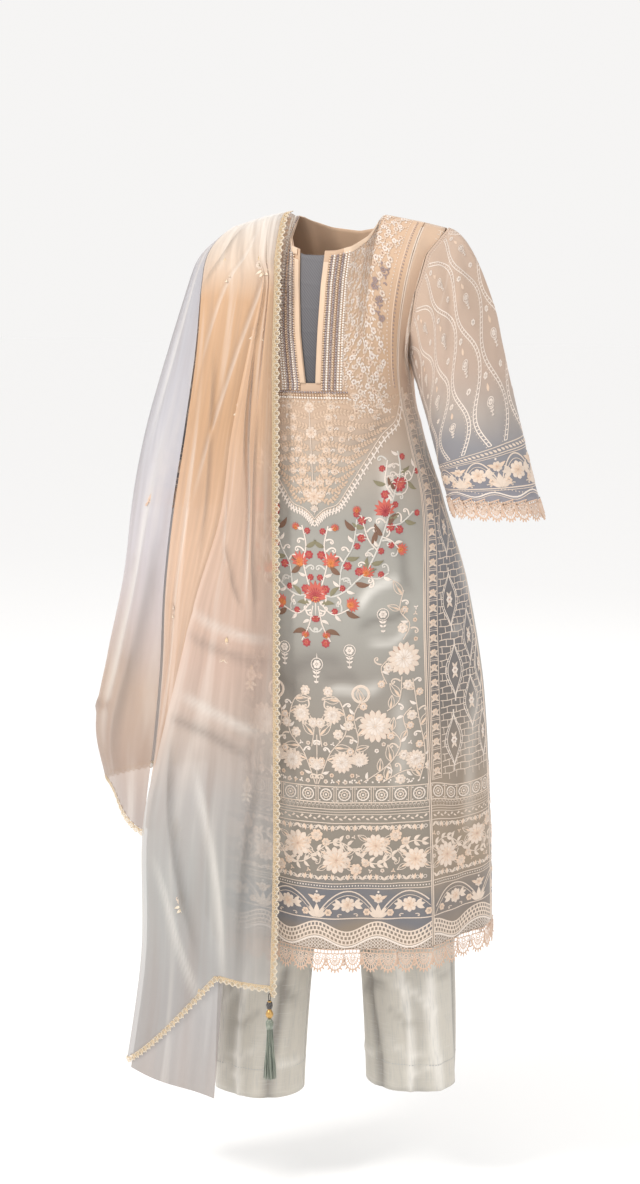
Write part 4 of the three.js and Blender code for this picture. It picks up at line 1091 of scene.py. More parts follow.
# The coloured spray: a large flower at the centre, branches to both sides and a stem below.
spray = Threadwork(7)
LEAFY = [("bloom", 6.5, RED), ("curl", 16, PALE), ("leaf", 19, OLIVE), ("curl", 13, PALE), ("bloom", 5, RED),
         ("leaf", 13, PALE), ("curl", 15, SMOKE), ("leaf", 22, BROWN)]
for k, (stem, path) in enumerate((
        (SMOKE, [(2, -540), (24, -548), (44, -540), (62, -524), (80, -508)]),
        (SMOKE, [(76, -512), (98, -464), (118, -400), (130, -368), (128, -340)]),
        (PALE, [(6, -556), (26, -574), (50, -566)]), (PALE, [(4, -562), (10, -590), (22, -614)]),
        (PALE, [(10, -532), (18, -500), (14, -474), (20, -446)]),
        (SMOKE, [(36, -538), (40, -504), (56, -474), (62, -436)]),
        (PALE, [(92, -482), (78, -464), (68, -430)]), (SMOKE, [(104, -446), (126, -444), (148, -428)]),
        (PALE, [(116, -406), (104, -384), (110, -352)]), (PALE, [(128, -384), (146, -382), (158, -364)]),
        (SMOKE, [(70, -518), (92, -522), (108, -514)]), (PALE, [(98, -462), (112, -468), (124, -480)]))):
    spray.trail(path, 8.6, LEAFY[k % 8:] + LEAFY[:k % 8], stem, 2.6 if k < 2 else 2.1)
for x, y, size, up in ((103, -426, 20, 95), (75, -514, 14, 60), (126, -482, 12, 20), (52, -560, 14, 20),
                       (24, -500, 17, 90), (30, -450, 8, 90), (16, -606, 8, 90), (62, -424, 8, 90)):
    spray.lotus((x, y), size, CORAL, RED if size == 20 else ORANGE, up, 100, 9)
spray.ring((126, -388), 15, 1.8, PALE)
spray.flower((126, -388), 11, 9, RED, ORANGE, 12, CORAL)
spray.mirrored(0)
spray.lotus((0, -548), 23, CORAL, RED, 90, 100, 11)
spray.flower((0, -549), 9, 8, ORANGE, GOLD, 0, GOLD)
spray.ribbon([(0, -556), (0, -640)], 1.8, PALE, 0.9)
spray.sprig((0, -648), 18, PALE)
for x, y in ((99, -574), (50, -626)):
    spray.sprig((x, y), 17, PALE)
    spray.sprig((-x, y), 17, PALE)

# The deep cream border above the bands: big flowers, vines and leaves, climbing beside the seams.
border = Threadwork(11)
for x, y, size in ((129, -640, 25), (87, -738, 25), (38, -792, 17), (146, -790, 15), (24, -722, 14)):
    border.flower((x, y), size, 14, CREAM, PEACH, 0, PALE)
    border.flower((x, y), size * 0.55, 10, PALE, PEACH, 9, CREAM)
border.lotus((64, -792), 18, CREAM, PALE, 90, 95, 11)
VINES = [("open", 26, CREAM), ("flower", 8, CREAM), ("curl", 15, CREAM), ("leaf", 12, PALE),
         ("flower", 6, PEACH),
         ("open", 20, CREAM), ("curl", 12, PALE)]
for k, path in enumerate((
        [(152, -822), (160, -780), (150, -724), (142, -670)],
        [(128, -612), (138, -590), (124, -568), (130, -540)],
        [(2, -826), (20, -780), (44, -746), (34, -700), (8, -700)],
        [(70, -822), (108, -794), (124, -764), (110, -744)],
        [(52, -790), (62, -760), (56, -722), (72, -694)], [(104, -716), (122, -700), (126, -666)],
        [(8, -770), (4, -742), (10, -724)], [(98, -822), (130, -806), (150, -808)],
        [(112, -636), (96, -652), (104, -676)], [(140, -712), (128, -726), (134, -748)])):
    border.trail(path, 11, VINES[k % 7:] + VINES[:k % 7], CREAM, 1.6)
border.ring((66, -690), 12, 4.0, CREAM, 16, 0.9)
fill_gaps(border, ((14, 158), (-820, -704)), 9.5, 4.0, (CREAM, PALE, PEACH))
fill_gaps(border, ((138, 160), (-704, -560)), 9.5, 4.0, (CREAM, PALE, PEACH))
for k in range(26):
    border.dot((16 + 5.6 * k + 2 * math.sin(k * 2.1), -822 + 3 * (k % 2)), 1.5, PALE)
border.mirrored(0)
border.lotus((0, -800), 16, CREAM, PALE, 90, 95, 9)
border.ribbon(soft_path([(0, -826), (0, -790), (0, -752)]), 1.6, CREAM)
hem_border(border, front_cut)
for side in (0, 1):
    seam = np.array([(front_cut.edges(h)[side] + (0.9, -0.9)[side], h) for h in np.arange(-1076, -20, 12.0)])
    border.ribbon(seam, 2.4, CREAM, 0.6)
    piping = np.array([(front_cut.edges(h)[side] + (12.0, -12.0)[side], h)
                       for h in np.arange(-246, -22, 12.0)])
    border.ribbon(piping, 1.6, PEACH, 0.8)

for name, work, lift in (("yoke_embroidery", yoke, 0.85), ("garland_embroidery", garland, 0.65),
                         ("spray_embroidery", spray, 0.65), ("border_embroidery", border, 0.55)):
    work.carried(name, front_cut, silk_thread, lift)

# ---------------------------------------------------------------- slit insert, slit edging and neck edging
# A charcoal twill cloth is sewn behind the slit, a peach strip is turned out along each slit edge, and a
# beaded strip runs round the neck. All are top-stitched to the panel.
STRIP_WIDE = 9
STRIP_LIFT = 1.7
NECK_WIDE = 10
TRIM_WALL = 0.9

insert_paint = Paint("charcoal_twill", Sheen_Weight=0.2, Specular_IOR_Level=0.3)
flat, across, up = insert_paint.cut()
twill = (across + up * 0.8).wave(0.0042)
cross_crease = (up + across * 0.12).wave(0.041).math("POWER", 14.0)
shade = down_run(insert_paint, insert_paint.place()[3],
                 [(-0.06, "#676567"), (-0.14, "#5b595b"), (-0.25, "#424041")])
shade = insert_paint.mix(twill * 0.4, shade, dye("#85848a"))
insert_paint.bump(twill * 0.4 + cross_crease, 0.5, 0.0009)
charcoal = insert_paint.set(Base_Color=shade, Roughness=0.6)


def slit_strip_places(name, offsets, rows):
    """Points on the yoke at fixed distances from the slit's middle line."""
    v = np.asarray(rows, float)
    at = np.empty((len(offsets), len(v)))
    fine = np.linspace(-0.9, 0.9, 241)
    for j, row in enumerate(v):
        line = front_point(fine, np.full_like(fine, row))
        middle, half = read_rows(SLIT, np.interp(0, fine, line[:, 2]), straight=True)[1:]
        for i, offset in enumerate(offsets):
            goal = middle + (offset if name == "insert" else np.sign(offset) * (half + abs(offset)))
            at[i, j] = np.interp(goal, line[:, 0], fine)
    return at


def laid_piece(name, at, rows, lift, flip=False):
    heights = np.broadcast_to(cut_height(np.asarray(rows, float)), at.shape)
    return lay_cloth(name, front_cut, at, heights, TRIM_WALL, flip, lift, crease_shaded=False)


insert_rows = np.concatenate([np.linspace(-35, 0, 6)[:-1], np.linspace(0, 0.97, 50)])
insert_at = slit_strip_places("insert", np.linspace(-30, 30, 16), insert_rows)
insert = dressed(laid_piece("slit_insert_cloth", insert_at, insert_rows, -2.2), charcoal,
                 "slit_insert")

edging = lawn_finish("edging_lawn", [(-0.01, "#e6cbb1"), (-0.20, "#dfc0a3"), (-0.40, "#cdb6a2")], False)
strip_rows = np.linspace(0.04, 0.92, 60)
for name, side in (("left", 1), ("right", -1)):
    offsets = [side * (0.8 + (STRIP_WIDE - 0.8) * k / 4) for k in range(5)]
    strip_at = slit_strip_places("strip", offsets, strip_rows)
    strip = laid_piece(f"slit_edging_{name}", strip_at, strip_rows, STRIP_LIFT, side < 0)
    dressed(strip, edging, f"slit_strip_{name}")


def neck_edging(name, node, cut, surface, ends, lift, flip):
    at = np.linspace(ends[0], ends[1], 40)
    top = np.linalg.norm(surface(at, np.ones_like(at)) - surface(at, np.full_like(at, 0.8)), axis=-1) / 0.2
    at = np.repeat(at[:, None], 5, axis=1)
    deep = np.linspace(NECK_WIDE, 0.8, 5)[None, :] / top[:, None]
    piece = lay_cloth(name, cut, at, cut_height(1 - deep), TRIM_WALL, flip, lift, crease_shaded=False)
    return dressed(piece, edging, node)


neck_left = neck_edging("neck_edging_left", "neck_strip_left", front_cut, front_point, (0.27, 0.57), 2.0,
                        False)
neck_right = neck_edging("neck_edging_right", "neck_strip_right", front_cut, front_point, (-0.57, -0.27),
                         2.0, False)

# ---------------------------------------------------------------- beaded rows beside the slit
# Rows of dusky and gold beads and French knots sewn down each side of the slit and across below it.
BEAD_STEP, BEAD_LIFT = 4.1, 0.8
BEAD_ROWS = {"dusky": (12.5, 20.5, 28.5), "pearl": (16.5, 32.5, 36.5), "gold": (24.5, 10.2)}
BELOW_SLIT = {"dusky": -254, "gold": -258, "pearl": -262}
bead_looks = {
    "dusky": bead_finish("dusky_beads", "#806562", 0.0, 0.3),
    "pearl": bead_finish("pearl_beads", "#efe2d4", 0.0, 0.25),
    "gold": bead_finish("gold_beads", "#d9b48a", 0.6, 0.3),
}


def slit_row(offset):
    """Places on the flat cut beside the slit, at one distance from its edge."""
    rows = np.linspace(0.0, 0.965, 60)
    at = slit_strip_places("row", [offset], rows)
    heights = cut_height(rows)
    s = cut_place(front_cut, at.ravel(), heights)
    run = np.concatenate([[0], np.cumsum(np.hypot(np.diff(s), np.diff(heights)))])
    even = np.arange(0, run[-1], BEAD_STEP)
    return np.interp(even, run, s), np.interp(even, run, heights)


slit_work = Threadwork(21)
for side in (-1, 1):
    for offset in BEAD_ROWS["dusky"]:
        slit_work.ribbon(np.stack(slit_row(side * offset), -1), 3.4, MAUVE, 0.1)
    for offset in (14.5, 22.5, 30.5, 38.5):
        s, heights = slit_row(side * offset)
        slit_work.ribbon(np.stack([s, heights], -1), 0.9, CREAM)
        for k in range(0, len(s)):
            slit_work.dot((s[k] + side * 1.2, heights[k] + 1.6), 0.9, PALE if k % 2 else PEACH, sides=5)
    s, heights = slit_row(side * 41.5)
    for k in range(0, len(s), 2):
        slit_work.scroll((s[k], heights[k]), 90 - side * 100, 3.6, side, CREAM, 1.1)
for k in range(28):
    slit_work.scroll((-56 + 4.1 * k, -266), 250 + 40 * (k % 2), 3.4, 1 if k % 2 else -1, CREAM, 1.1)
slit_work.carried("slit_embroidery", front_cut, silk_thread, 0.8)

round_bead = bead_unit("round_bead", 1.75)
for look, offsets in BEAD_ROWS.items():
    places = [slit_row(side * offset) for side in (-1, 1) for offset in offsets]
    s, heights = (np.concatenate([place[k] for place in places]) for k in (0, 1))
    across = np.arange(-58, 58, BEAD_STEP)
    s = np.concatenate([s, across])
    heights = np.concatenate([heights, np.full(len(across), BELOW_SLIT[look])])
    upward = front_cut.carry(s, heights + 3) - front_cut.carry(s, heights)
    beads = sew_on(f"slit_beads_{look}", round_bead, front_cut.carry(s, heights, BEAD_LIFT),
                   front_cut.facing(s, heights), upward, bead_looks[look])

# ---------------------------------------------------------------- side panels
# Long narrow panels of organza between the front panel's seams and the side seams, dyed slate and worked all
# over with a netted brick stitch. Their upper edges form the front of the armholes.
SIDE_CREASES = [
    (40, -520, 30, -760, 14, -3.0), (70, -430, 96, -560, 12, 2.6), (24, -640, 60, -600, 9, 2.0),
    (90, -700, 70, -900, 13, 2.2), (60, -820, 30, -1000, 14, -2.0), (30, -300, 60, -420, 10, 2.0),
]
SIDE_DYES = [
    (-0.02, "#ccae94"), (-0.26, "#c3a893"), (-0.34, "#a59b93"), (-0.45, "#7f7e82"), (-0.58, "#6f6d70"),
    (-0.70, "#756f6b"), (-0.84, "#9c8b79"), (-0.95, "#9c8a76"), (-1.0, "#7b7470"), (-1.08, "#93806d"),
]
side_lawn = lawn_finish("side_organza", SIDE_DYES)
side_cuts = {}
for name, side in (("left", 1), ("right", -1)):
    places = (1.0025, 1.9975) if side > 0 else (-1.9975, -1.0025)
    creases = [(s0 * side, h0, s1 * side, h1, w, d) for s0, h0, s1, h1, w, d in SIDE_CREASES]
    cut = FlatCut(front_point, (HEM_Z, BUST_Z + YOKE_CUT), places, side, 1, creases)
    side_cuts[name] = cut
    at = np.repeat(np.linspace(*places, 30)[:, None], 142, axis=1)
    rows_here = np.concatenate([np.linspace(HEM_Z - BUST_Z, 0, 112), np.linspace(0, 1, 31)[1:]])
    heights = np.broadcast_to(cut_height(rows_here), at.shape)
    panel = lay_cloth(f"side_panel_{name}_cloth", cut, at, heights, CLOTH_WALL)
    dressed(panel, side_lawn, f"side_panel_{name}")

# Brick netting with pointed lenses, a strip of small framed leaves beside the seam, and the worked border.
NET_TOP, BRICK_COURSE, BRICK_LONG = -30, 10.0, 15.0
LENS_WIDE, LENS_TALL = 12, 42


def in_lens(s, height, lenses, grown=0.0):
    inside = np.zeros(np.shape(s), bool)
    for centre_s, centre_h in lenses:
        reach = np.abs(height - centre_h) / LENS_TALL
        half = (LENS_WIDE + grown) * (0.5 + 0.5 * np.cos(np.pi * np.minimum(reach, 1)))
        inside |= (np.abs(s - centre_s) < half) & (reach < 1)
    return inside


def brick_net(work, cut, top, foot, lenses, clear=0.0):
    """Courses of open bricks in chain stitch, left out inside the lenses and within clear of the seam."""
    for course, height in enumerate(np.arange(top, foot, -BRICK_COURSE)):
        left, right = cut.edges(height)
        left, right = (left + 2, right - 2) if clear == 0 else (
            (max(left, clear), right - 2) if right > -left else (left + 2, min(right, -clear)))
        if right - left < 12:
            continue
        s = np.arange(left, right, 5.0)
        line = height + 0.7 * np.sin(s * 0.23 + course * 1.7)
        out = ~in_lens(s, line, lenses)
        edges = np.flatnonzero(np.diff(np.concatenate([[0], out.astype(int), [0]])))
        for first, last in zip(edges[::2], edges[1::2]):
            if last - first > 1:
                work.ribbon(np.stack([s, line], -1)[first:last], 1.3, CREAM, 0.4)
        for s0 in np.arange(left + 4 + (course % 2) * BRICK_LONG / 2, right, BRICK_LONG):
            if not in_lens(np.array([s0]), height - BRICK_COURSE / 2, lenses)[0]:
                work.ribbon([(s0, height), (s0 + 0.6, height - BRICK_COURSE)], 1.1, CREAM, 0.4)


def lens(work, centre):
    """A pointed lens in double outline with rungs, round a small flower."""
    s0, h0 = centre
    t = np.linspace(-1, 1, 19)
    for grown in (0, 4.5):
        half = (LENS_WIDE + grown) * (0.5 + 0.5 * np.cos(np.pi * t)) - grown * 0.15
        for side in (-1, 1):
            work.ribbon(np.stack([s0 + side * half, h0 + (LENS_TALL + grown) * t], -1), 1.2, PALE, 0.5)
    for k in range(2, 17, 2):
        half = LENS_WIDE * (0.5 + 0.5 * math.cos(math.pi * t[k]))
        for side in (-1, 1):
            place = h0 + LENS_TALL * t[k]
            work.ribbon([(s0 + side * half, place), (s0 + side * (half + 4), place)], 0.9, CREAM, 0.4)
    work.flower((s0, h0), 5.5, 6, PALE, ROSE)
    for lean in (60, 120, 240, 300):
        work.leaf((s0, h0 - 4 if lean > 180 else h0 + 4), lean, 9, 3.4, CREAM)


for name, side in (("left", 1), ("right", -1)):
    cut = side_cuts[name]
    net = Threadwork(31)
    lenses = [(side * s0, h0) for s0, h0 in (
        (44, -352), (44, -457), (46, -562), (50, -667), (46, -772), (84, -620), (81, -718), (110, -668),
        (112, -772), (90, -130), (150, -90), (60, -60), (120, -50), (200, -60))]
    brick_net(net, cut, NET_TOP, RING_TOP + 3, lenses, 24)
    for centre in lenses:
        lens(net, centre)
    heights = np.arange(HEM_Z + 3, -20, 12.0)
    net.ribbon(np.stack([np.full(len(heights), side * 0.9), heights], -1), 2.4, CREAM, 0.6)
    outer = [(max(cut.edges(h), key=abs) - side * 0.9, h) for h in heights[:-8]]
    net.ribbon(outer, 2.4, CREAM, 0.6)
    for inset in (4.5, 7, 21.5):
        heights = np.arange(RING_TOP + 4, -246, 12.0)
        net.ribbon(np.stack([np.full(len(heights), side * inset), heights], -1), 1.3, CREAM, 0.6)
    for k, height in enumerate(np.arange(RING_TOP + 14, -256, 22.0)):
        middle = side * 13.8
        net.ribbon([(side * 6, height - 9), (side * 21.5, height - 9)], 1.4, CREAM)
        net.ribbon([(side * 6, height - 6.4), (side * 21.5, height - 6.4)], 0.9, CREAM)
        net.flower((middle, height + 3), 5.4, 6, PEACH, ROSE, 12, CREAM)
        for lean in (35, 145, 215, 325):
            net.leaf((middle, height + 1), lean, 8.5, 3.4, CREAM, parts=4)
    hem = Threadwork(37)
    hem_border(hem, cut)
    hem.let_down(14, 60, RING_TOP, HEM_Z)
    net.carried(f"side_netting_{name}", cut, silk_thread)
    hem.carried(f"side_border_{name}", cut, silk_thread)

# ---------------------------------------------------------------- back panel
# One panel, plain above and with the same worked border as the front, sewn at the side seams and shoulders.
BACK_CREASES = [
    (-60, -430, 40, -405, 16, -3.0), (30, -480, 120, -440, 14, -2.6), (-130, -500, -40, -470, 14, -2.4),
    (-90, -620, -100, -860, 16, 2.6), (70, -640, 90, -900, 18, 2.6), (0, -700, -10, -960, 18, -2.2),
    (140, -560, 150, -760, 14, 2.2), (-30, -120, 30, -130, 14, -1.6),
]
back_lawn = lawn_finish("back_lawn", FRONT_DYES)
back_cut = FlatCut(back_point, (HEM_Z, BUST_Z + YOKE_CUT), (-1.9976, 1.9976), 0, -1, BACK_CREASES)
back_rows = np.concatenate([np.linspace(HEM_Z - BUST_Z, 0, 96), np.linspace(0, 1, 36)[1:]])
back_at = np.repeat(np.linspace(-1.9976, 1.9976, 90)[:, None], len(back_rows), axis=1)
heights = np.broadcast_to(cut_height(back_rows), back_at.shape)
back = lay_cloth("back_panel_cloth", back_cut, back_at, heights, CLOTH_WALL, flip=True)
dressed(back, back_lawn, "back_panel")
neck_back = neck_edging("neck_edging_back", "neck_strip_back", back_cut, back_point, (-0.52, 0.52), 2.3, True)

back_work = Threadwork(41)
hem_border(back_work, back_cut)
for side in (0, 1):
    seam = [(back_cut.edges(h)[side] + (0.9, -0.9)[side], h) for h in np.arange(HEM_Z + 3, -120, 12.0)]
    back_work.ribbon(seam, 2.4, CREAM, 0.6)
back_work.carried("back_border", back_cut, silk_thread)

# ---------------------------------------------------------------- hem lace
# Crochet lace in peach cotton, fan after fan, whipped to the hem: a ladder, a net of loops, then a scalloped
# fan with picots.
FAN_WIDE, FAN_DEEP = 26.5, 40


def crochet_fan(name, wide, deep):
    """One fan of the lace, hanging down from y = 0."""
    fan = Threadwork(51)
    tint = dye("#e3c3ab")
    light = dye("#efd6c3")
    half = wide / 2
    for y in (-0.9, -0.17 * deep):
        fan.ribbon([(-half, y), (half, y)], 1.7, tint, 0.9)
    for k in range(5):
        x = -half + wide * (k + 0.5) / 5
        fan.ribbon([(x, -0.9), (x, -0.17 * deep)], 1.3, tint)
    heart = (0, -0.30 * deep)
    for k in range(4):
        x = -half + wide * (k + 0.5) / 4
        fan.ring((x, -0.25 * deep), wide * 0.075, 1.1, light, 8)
    for side in (-1, 1):
        fan.ring((side * half * 0.92, -0.38 * deep), wide * 0.07, 1.1, light, 8)
        fan.ring((side * half * 0.66, -0.36 * deep), wide * 0.07, 1.1, light, 8)
        fan.ribbon([(side * half, -0.17 * deep), (side * half, -0.55 * deep)], 1.4, tint)
    fan.ring(heart, wide * 0.1, 1.5, light, 10, 1.0)
    for radius, line in ((0.27, 1.6), (0.43, 2.2)):
        turn = np.radians(np.linspace(188, 352, 17))
        arc = np.stack([np.cos(turn) * wide * radius * 1.08, np.sin(turn) * deep * radius * 1.18], -1)
        fan.ribbon(arc + heart, line, tint, 1.0)
    for k in range(9):
        turn = math.radians(194 + 152 * k / 8)
        spoke = np.array([math.cos(turn) * wide * 1.08, math.sin(turn) * deep * 1.18])
        fan.ribbon([heart + spoke * 0.1, heart + spoke * 0.43], 1.25, light)
        if 0 < k < 8:
            fan.leaf(heart + spoke * 0.42, math.degrees(turn), deep * 0.15, 2.6, tint, high=1.0, parts=4)
    return fan.as_unit(name)


def evenly(parts, step):
    """Even places along a line of points, with what goes with them there."""
    run = run_along(parts[0])
    count = max(round(run[-1] / step), 1)
    even = (np.arange(count) + 0.5) * run[-1] / count
    return [np.stack([np.interp(even, run, part[:, k]) for k in range(3)], -1) for part in parts]


def along_edge(cuts, height, step):
    """Even places on a line of panel edges: points, outward and upward directions."""
    parts = [[], [], []]
    for cut, first, last in cuts:
        count = max(int(abs(last - first) / 3), 2)
        s = np.linspace(first, last, count)
        high = np.full(count, float(height))
        here = cut.carry(s, high)
        parts[0].append(here)
        parts[1].append(cut.facing(s, high + 4))
        parts[2].append(cut.carry(s, high + 8) - here)
    return evenly([np.concatenate(part) for part in parts], step)


crochet = thread_finish("crochet_cotton", 0.6, 0.3)
hem_fan = crochet_fan("hem_fan", FAN_WIDE, FAN_DEEP)
edge = {name: [abs(v) for v in side_cuts[name].edges(HEM_Z + 1)] for name in ("left", "right")}
front_edges, back_edges = front_cut.edges(HEM_Z + 1), back_cut.edges(HEM_Z + 1)
HEM_LINES = {
    "front": [(side_cuts["right"], -max(edge["right"]), 0), (front_cut, *front_edges),
              (side_cuts["left"], 0, max(edge["left"]))],
    "back": [(back_cut, *back_edges)],
}
for name, cuts in HEM_LINES.items():
    points, outward, upward = along_edge(cuts, HEM_Z + 1, FAN_WIDE)
    lace = sew_on(f"hem_lace_{name}_fans", hem_fan, points, outward, upward, crochet)
    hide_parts(f"hem_lace_{name}")
set_aside(hem_fan, round_bead)

# ---------------------------------------------------------------- sleeves
# Three-quarter sleeves of half-sheer organza, each one tube closed under the arm and set into the armhole,
# dyed peach at the shoulder and slate blue at the cuff.
SLEEVE_Z = -408
# side, cuff middle x and y, half width, half depth
SLEEVES = {"left": (1, 239, -24, 68, 46), "right": (-1, 246, -12, 57, 58)}
SLEEVE_LONG = 430


def armhole(share, side):
    front = share <= 0.5
    along = np.where(front, share / 0.5, (1 - share) / 0.5)
    start = np.where(front, 1.15, 1.2)
    at = start + (2 - start) * along
    edge = np.where(front[..., None], top_edge(FRONT_TOP, at, side)[0], top_edge(BACK_TOP, at, side)[0])
    edge[..., 0] += side * 2.0
    edge[..., 1] *= 1 + 0.06 * np.sin(np.pi * along)
    edge[..., 2] += np.where(along < 0.2, 1.2 * (1 - along / 0.2), 0)
    return edge


def sleeve_point(name):
    side, x, y, wide, deep = SLEEVES[name]
    down = np.array([0.3 * side, -0.04, -0.95])
    down /= np.linalg.norm(down)

    def surface(share, v):
        share, v = np.broadcast_arrays(np.asarray(share, float), np.asarray(v, float))
        turn = share - np.floor(share)
        angle = turn * 2 * np.pi
        start = armhole(turn, side)
        outer = (1 + np.cos(angle)) / 2
        end = np.stack([side * (x + wide * np.cos(angle)), y - deep * np.sin(angle),
                        np.full_like(angle, SLEEVE_Z)], -1)
        reach = np.linalg.norm(end - start, axis=-1)[..., None]
        leave = np.stack([side * blend(0.34, 0.97, outer), 0 * outer, blend(-0.94, -0.24, outer)], -1)
        first = start + leave * reach * blend(0.3, 0.16, outer)[..., None]
        curve = bezier(start, first, end - down * reach * 0.4, end, np.clip(v, 0, 1))
        beyond = end + down * np.maximum(v - 1, 0)[..., None]
        return np.where(v[..., None] > 1, beyond, curve)
    return surface


# On a sleeve's flat cut s runs round the arm from the top line and the height runs down from the armhole.
SLEEVE_CREASES = [
    (20, -60, 70, -140, 12, 3.0), (60, -40, 96, -160, 9, -2.6), (-30, -90, 20, -240, 12, 2.2),
    (90, -200, 60, -330, 11, 2.4), (110, -150, 150, -260, 10, -2.4), (10, -260, 40, -400, 14, -2.2),
    (-90, -80, -60, -220, 12, 2.4), (-130, -140, -110, -300, 12, -2.2), (-40, -300, -60, -410, 12, 2.0),
]
SLEEVE_DYES = [
    (-0.02, "#d3b9a5"), (-0.12, "#cbb19d"), (-0.22, "#c4ac9b"), (-0.28, "#b3a79e"), (-0.325, "#918f92"),
    (-0.37, "#85848b"), (-0.41, "#8d8a91"),
]
organza = Paint("sleeve_organza", Sheen_Weight=0.3, Sheen_Roughness=0.3)
spot, _, _, high = organza.place()
flat, across, up = organza.cut()
colour = down_run(organza, high + (organza.noise(spot, 9.0) - 0.5) * 0.05, SLEEVE_DYES, 0.0, -0.45)
weave = across.wave(0.0013) * up.wave(0.0013)
organza.bump(weave + organza.noise(spot, 60.0), 0.2, 0.0005)
sleeve_organza = organza.set(Base_Color=colour, Roughness=0.5 + weave * 0.1, Alpha=0.86 + weave * 0.06)

sleeve_cuts = {}
for name, (side, *_rest) in SLEEVES.items():
    surface = sleeve_point(name)

    def rows_down(height):
        return np.clip(-height / SLEEVE_LONG, 0, 1)
    places = (-0.5, 0.5)
    cut = FlatCut(surface, (-SLEEVE_LONG, 0), places, 0, -side, SLEEVE_CREASES, rows_down)
    sleeve_cuts[name] = cut
    share = np.repeat(np.linspace(-0.5, 0.5, 73)[:, None], 74, axis=1)
    down = np.broadcast_to(np.linspace(-SLEEVE_LONG, 0, 74), share.shape)
    s = cut_place(cut, share.ravel(), down.ravel())
    count = 72 * 74
    points = cut.carry(s, down)[:count]
    faces = grid_faces(*share.shape, closed=True, flip=side > 0)
    flat_place = np.stack([s, down.ravel()], -1) * MM
    corners = np.ravel(grid_faces(*share.shape, flip=side > 0))
    sleeve = lay_mesh(f"sleeve_{name}_cloth", points, faces, flat_place[corners])
    dressed(sleeve, sleeve_organza, f"sleeve_{name}")

# The sleeves' work: waving ladders that meet and part, a sprig in each opening, and a border above the cuff.
LADDER_APART, LADDER_WAVE, LADDER_TALL = 34, 12, 150
CUFF_ROPE, CUFF_BAND, CUFF_EDGE = -350, -363, -409
sleeve_fan = crochet_fan("sleeve_fan", 20, 34)
pink_crochet = thread_finish("pink_crochet_cotton", 0.6, 0.3)
for name, (side, *_rest) in SLEEVES.items():
    cut = sleeve_cuts[name]
    work = Threadwork(61)
    heights = np.arange(CUFF_ROPE + 4, -14, 6.0)
    for k in range(-7, 8):
        wave = np.cos(2 * np.pi * heights / LADDER_TALL + np.pi * k)
        s = k * LADDER_APART + LADDER_WAVE * wave
        rails = [s - 2.6, s + 2.6]
        room = np.array([min(-cut.edges(h)[0], cut.edges(h)[1]) for h in heights]) - 4
        inside = np.abs(s) < room
        if inside.sum() < 4:
            continue
        for rail in rails:
            work.ribbon(np.stack([rail, heights], -1)[inside], 1.5, PALE, 0.4)
        for j in np.flatnonzero(inside):
            work.ribbon([(rails[0][j], heights[j]), (rails[1][j], heights[j])], 1.3, PALE, 0.4)
            work.dot((rails[1][j] + 3, heights[j]), 0.8, CREAM, 0.4, 5)
        for h0 in np.arange(-LADDER_TALL * (1.0 if k % 2 else 0.5), CUFF_ROPE + 30, -LADDER_TALL):
            s0 = (k + 0.5) * LADDER_APART
            if abs(s0) < min(cut.edges(h0)[1], -cut.edges(h0)[0]) - 14:
                work.sprig((s0, h0 + 10), 12, PALE)
                work.leaf((s0, h0 + 24), 90, 11, 5, PEACH)
        for h0 in np.arange(-LADDER_TALL * (0.7 if k % 2 else 0.2), CUFF_ROPE + 20, -LADDER_TALL / 2):
            s0 = (k + 0.5) * LADDER_APART
            if h0 < -20 and abs(s0) < min(cut.edges(h0)[1], -cut.edges(h0)[0]) - 14:
                work.flower((s0, h0), 4.5, 6, PALE, CREAM)
    for height, wide in ((CUFF_ROPE, 1.3), (CUFF_ROPE - 10, 1.3), (CUFF_BAND, 1.0), (CUFF_EDGE, 1.6),
                         (CUFF_EDGE - 3, 0.9)):
        row_line(work, cut, height, wide, CREAM)
    for s0 in places_across(cut, CUFF_ROPE - 5, 6.4, 2):
        work.leaf((s0 - 3, CUFF_ROPE - 7.4), 38, 7.4, 3, CREAM, parts=4)
    medallions(work, cut, CUFF_BAND, CUFF_EDGE, 60)
    row_line(work, cut, CUFF_EDGE - 10, 2.0, PALE, 4, 60)
    row_line(work, cut, CUFF_EDGE - 13.5, 1.0, CREAM, 4, 60)
    for s0 in places_across(cut, CUFF_EDGE - 16, 5.0, 1):
        work.dot((s0, CUFF_EDGE - 5 + 3 * math.cos(2 * math.pi * s0 / 60)), 1.0, CREAM, 0.4, 5)
    for drop in (-8.0, -13.0):
        reach = min(cut.edges(drop)[1], -cut.edges(drop)[0]) - 6
        for s0 in np.arange(-reach, reach, 4.2):
            work.dot((s0, drop), 1.0, MAUVE if drop == -8 else PALE, sides=5)
    work.carried(f"sleeve_embroidery_{name}", cut, silk_thread, 0.0)
    left, right = cut.edges(-SLEEVE_LONG + 1)
    halves = {"outer": [(cut, left / 2, right / 2)],
              "inner": [(cut, right / 2, right - 1), (cut, left + 1, left / 2)]}
    for half, lines in halves.items():
        points, outward, upward = along_edge(lines, -SLEEVE_LONG + 1, 20)
        lace = sew_on(f"sleeve_lace_{name}_{half}_fans", sleeve_fan, points, outward, upward, pink_crochet)
        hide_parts(f"sleeve_lace_{name}_{half}")
set_aside(sleeve_fan)

# ---------------------------------------------------------------- trousers
# Straight wide cropped trousers of a slubby pale cloth: two legs joined along the crotch, a deep turned-up
# hem held by one line of stitches, and a plain waistband that the kurta hides.
CUFF_Z, CROTCH_Z, WAIST_Z = -1335, -650, -415
CUFF_WIDE, CUFF_DEEP = 71, 61
WAIST_WIDE, HIP_WIDE, HIP_DEEP, HIP_BACK = 118, 146, 96, -4
KNEE_X, KNEE_WIDE, KNEE_DEEP = 84, 80, 84
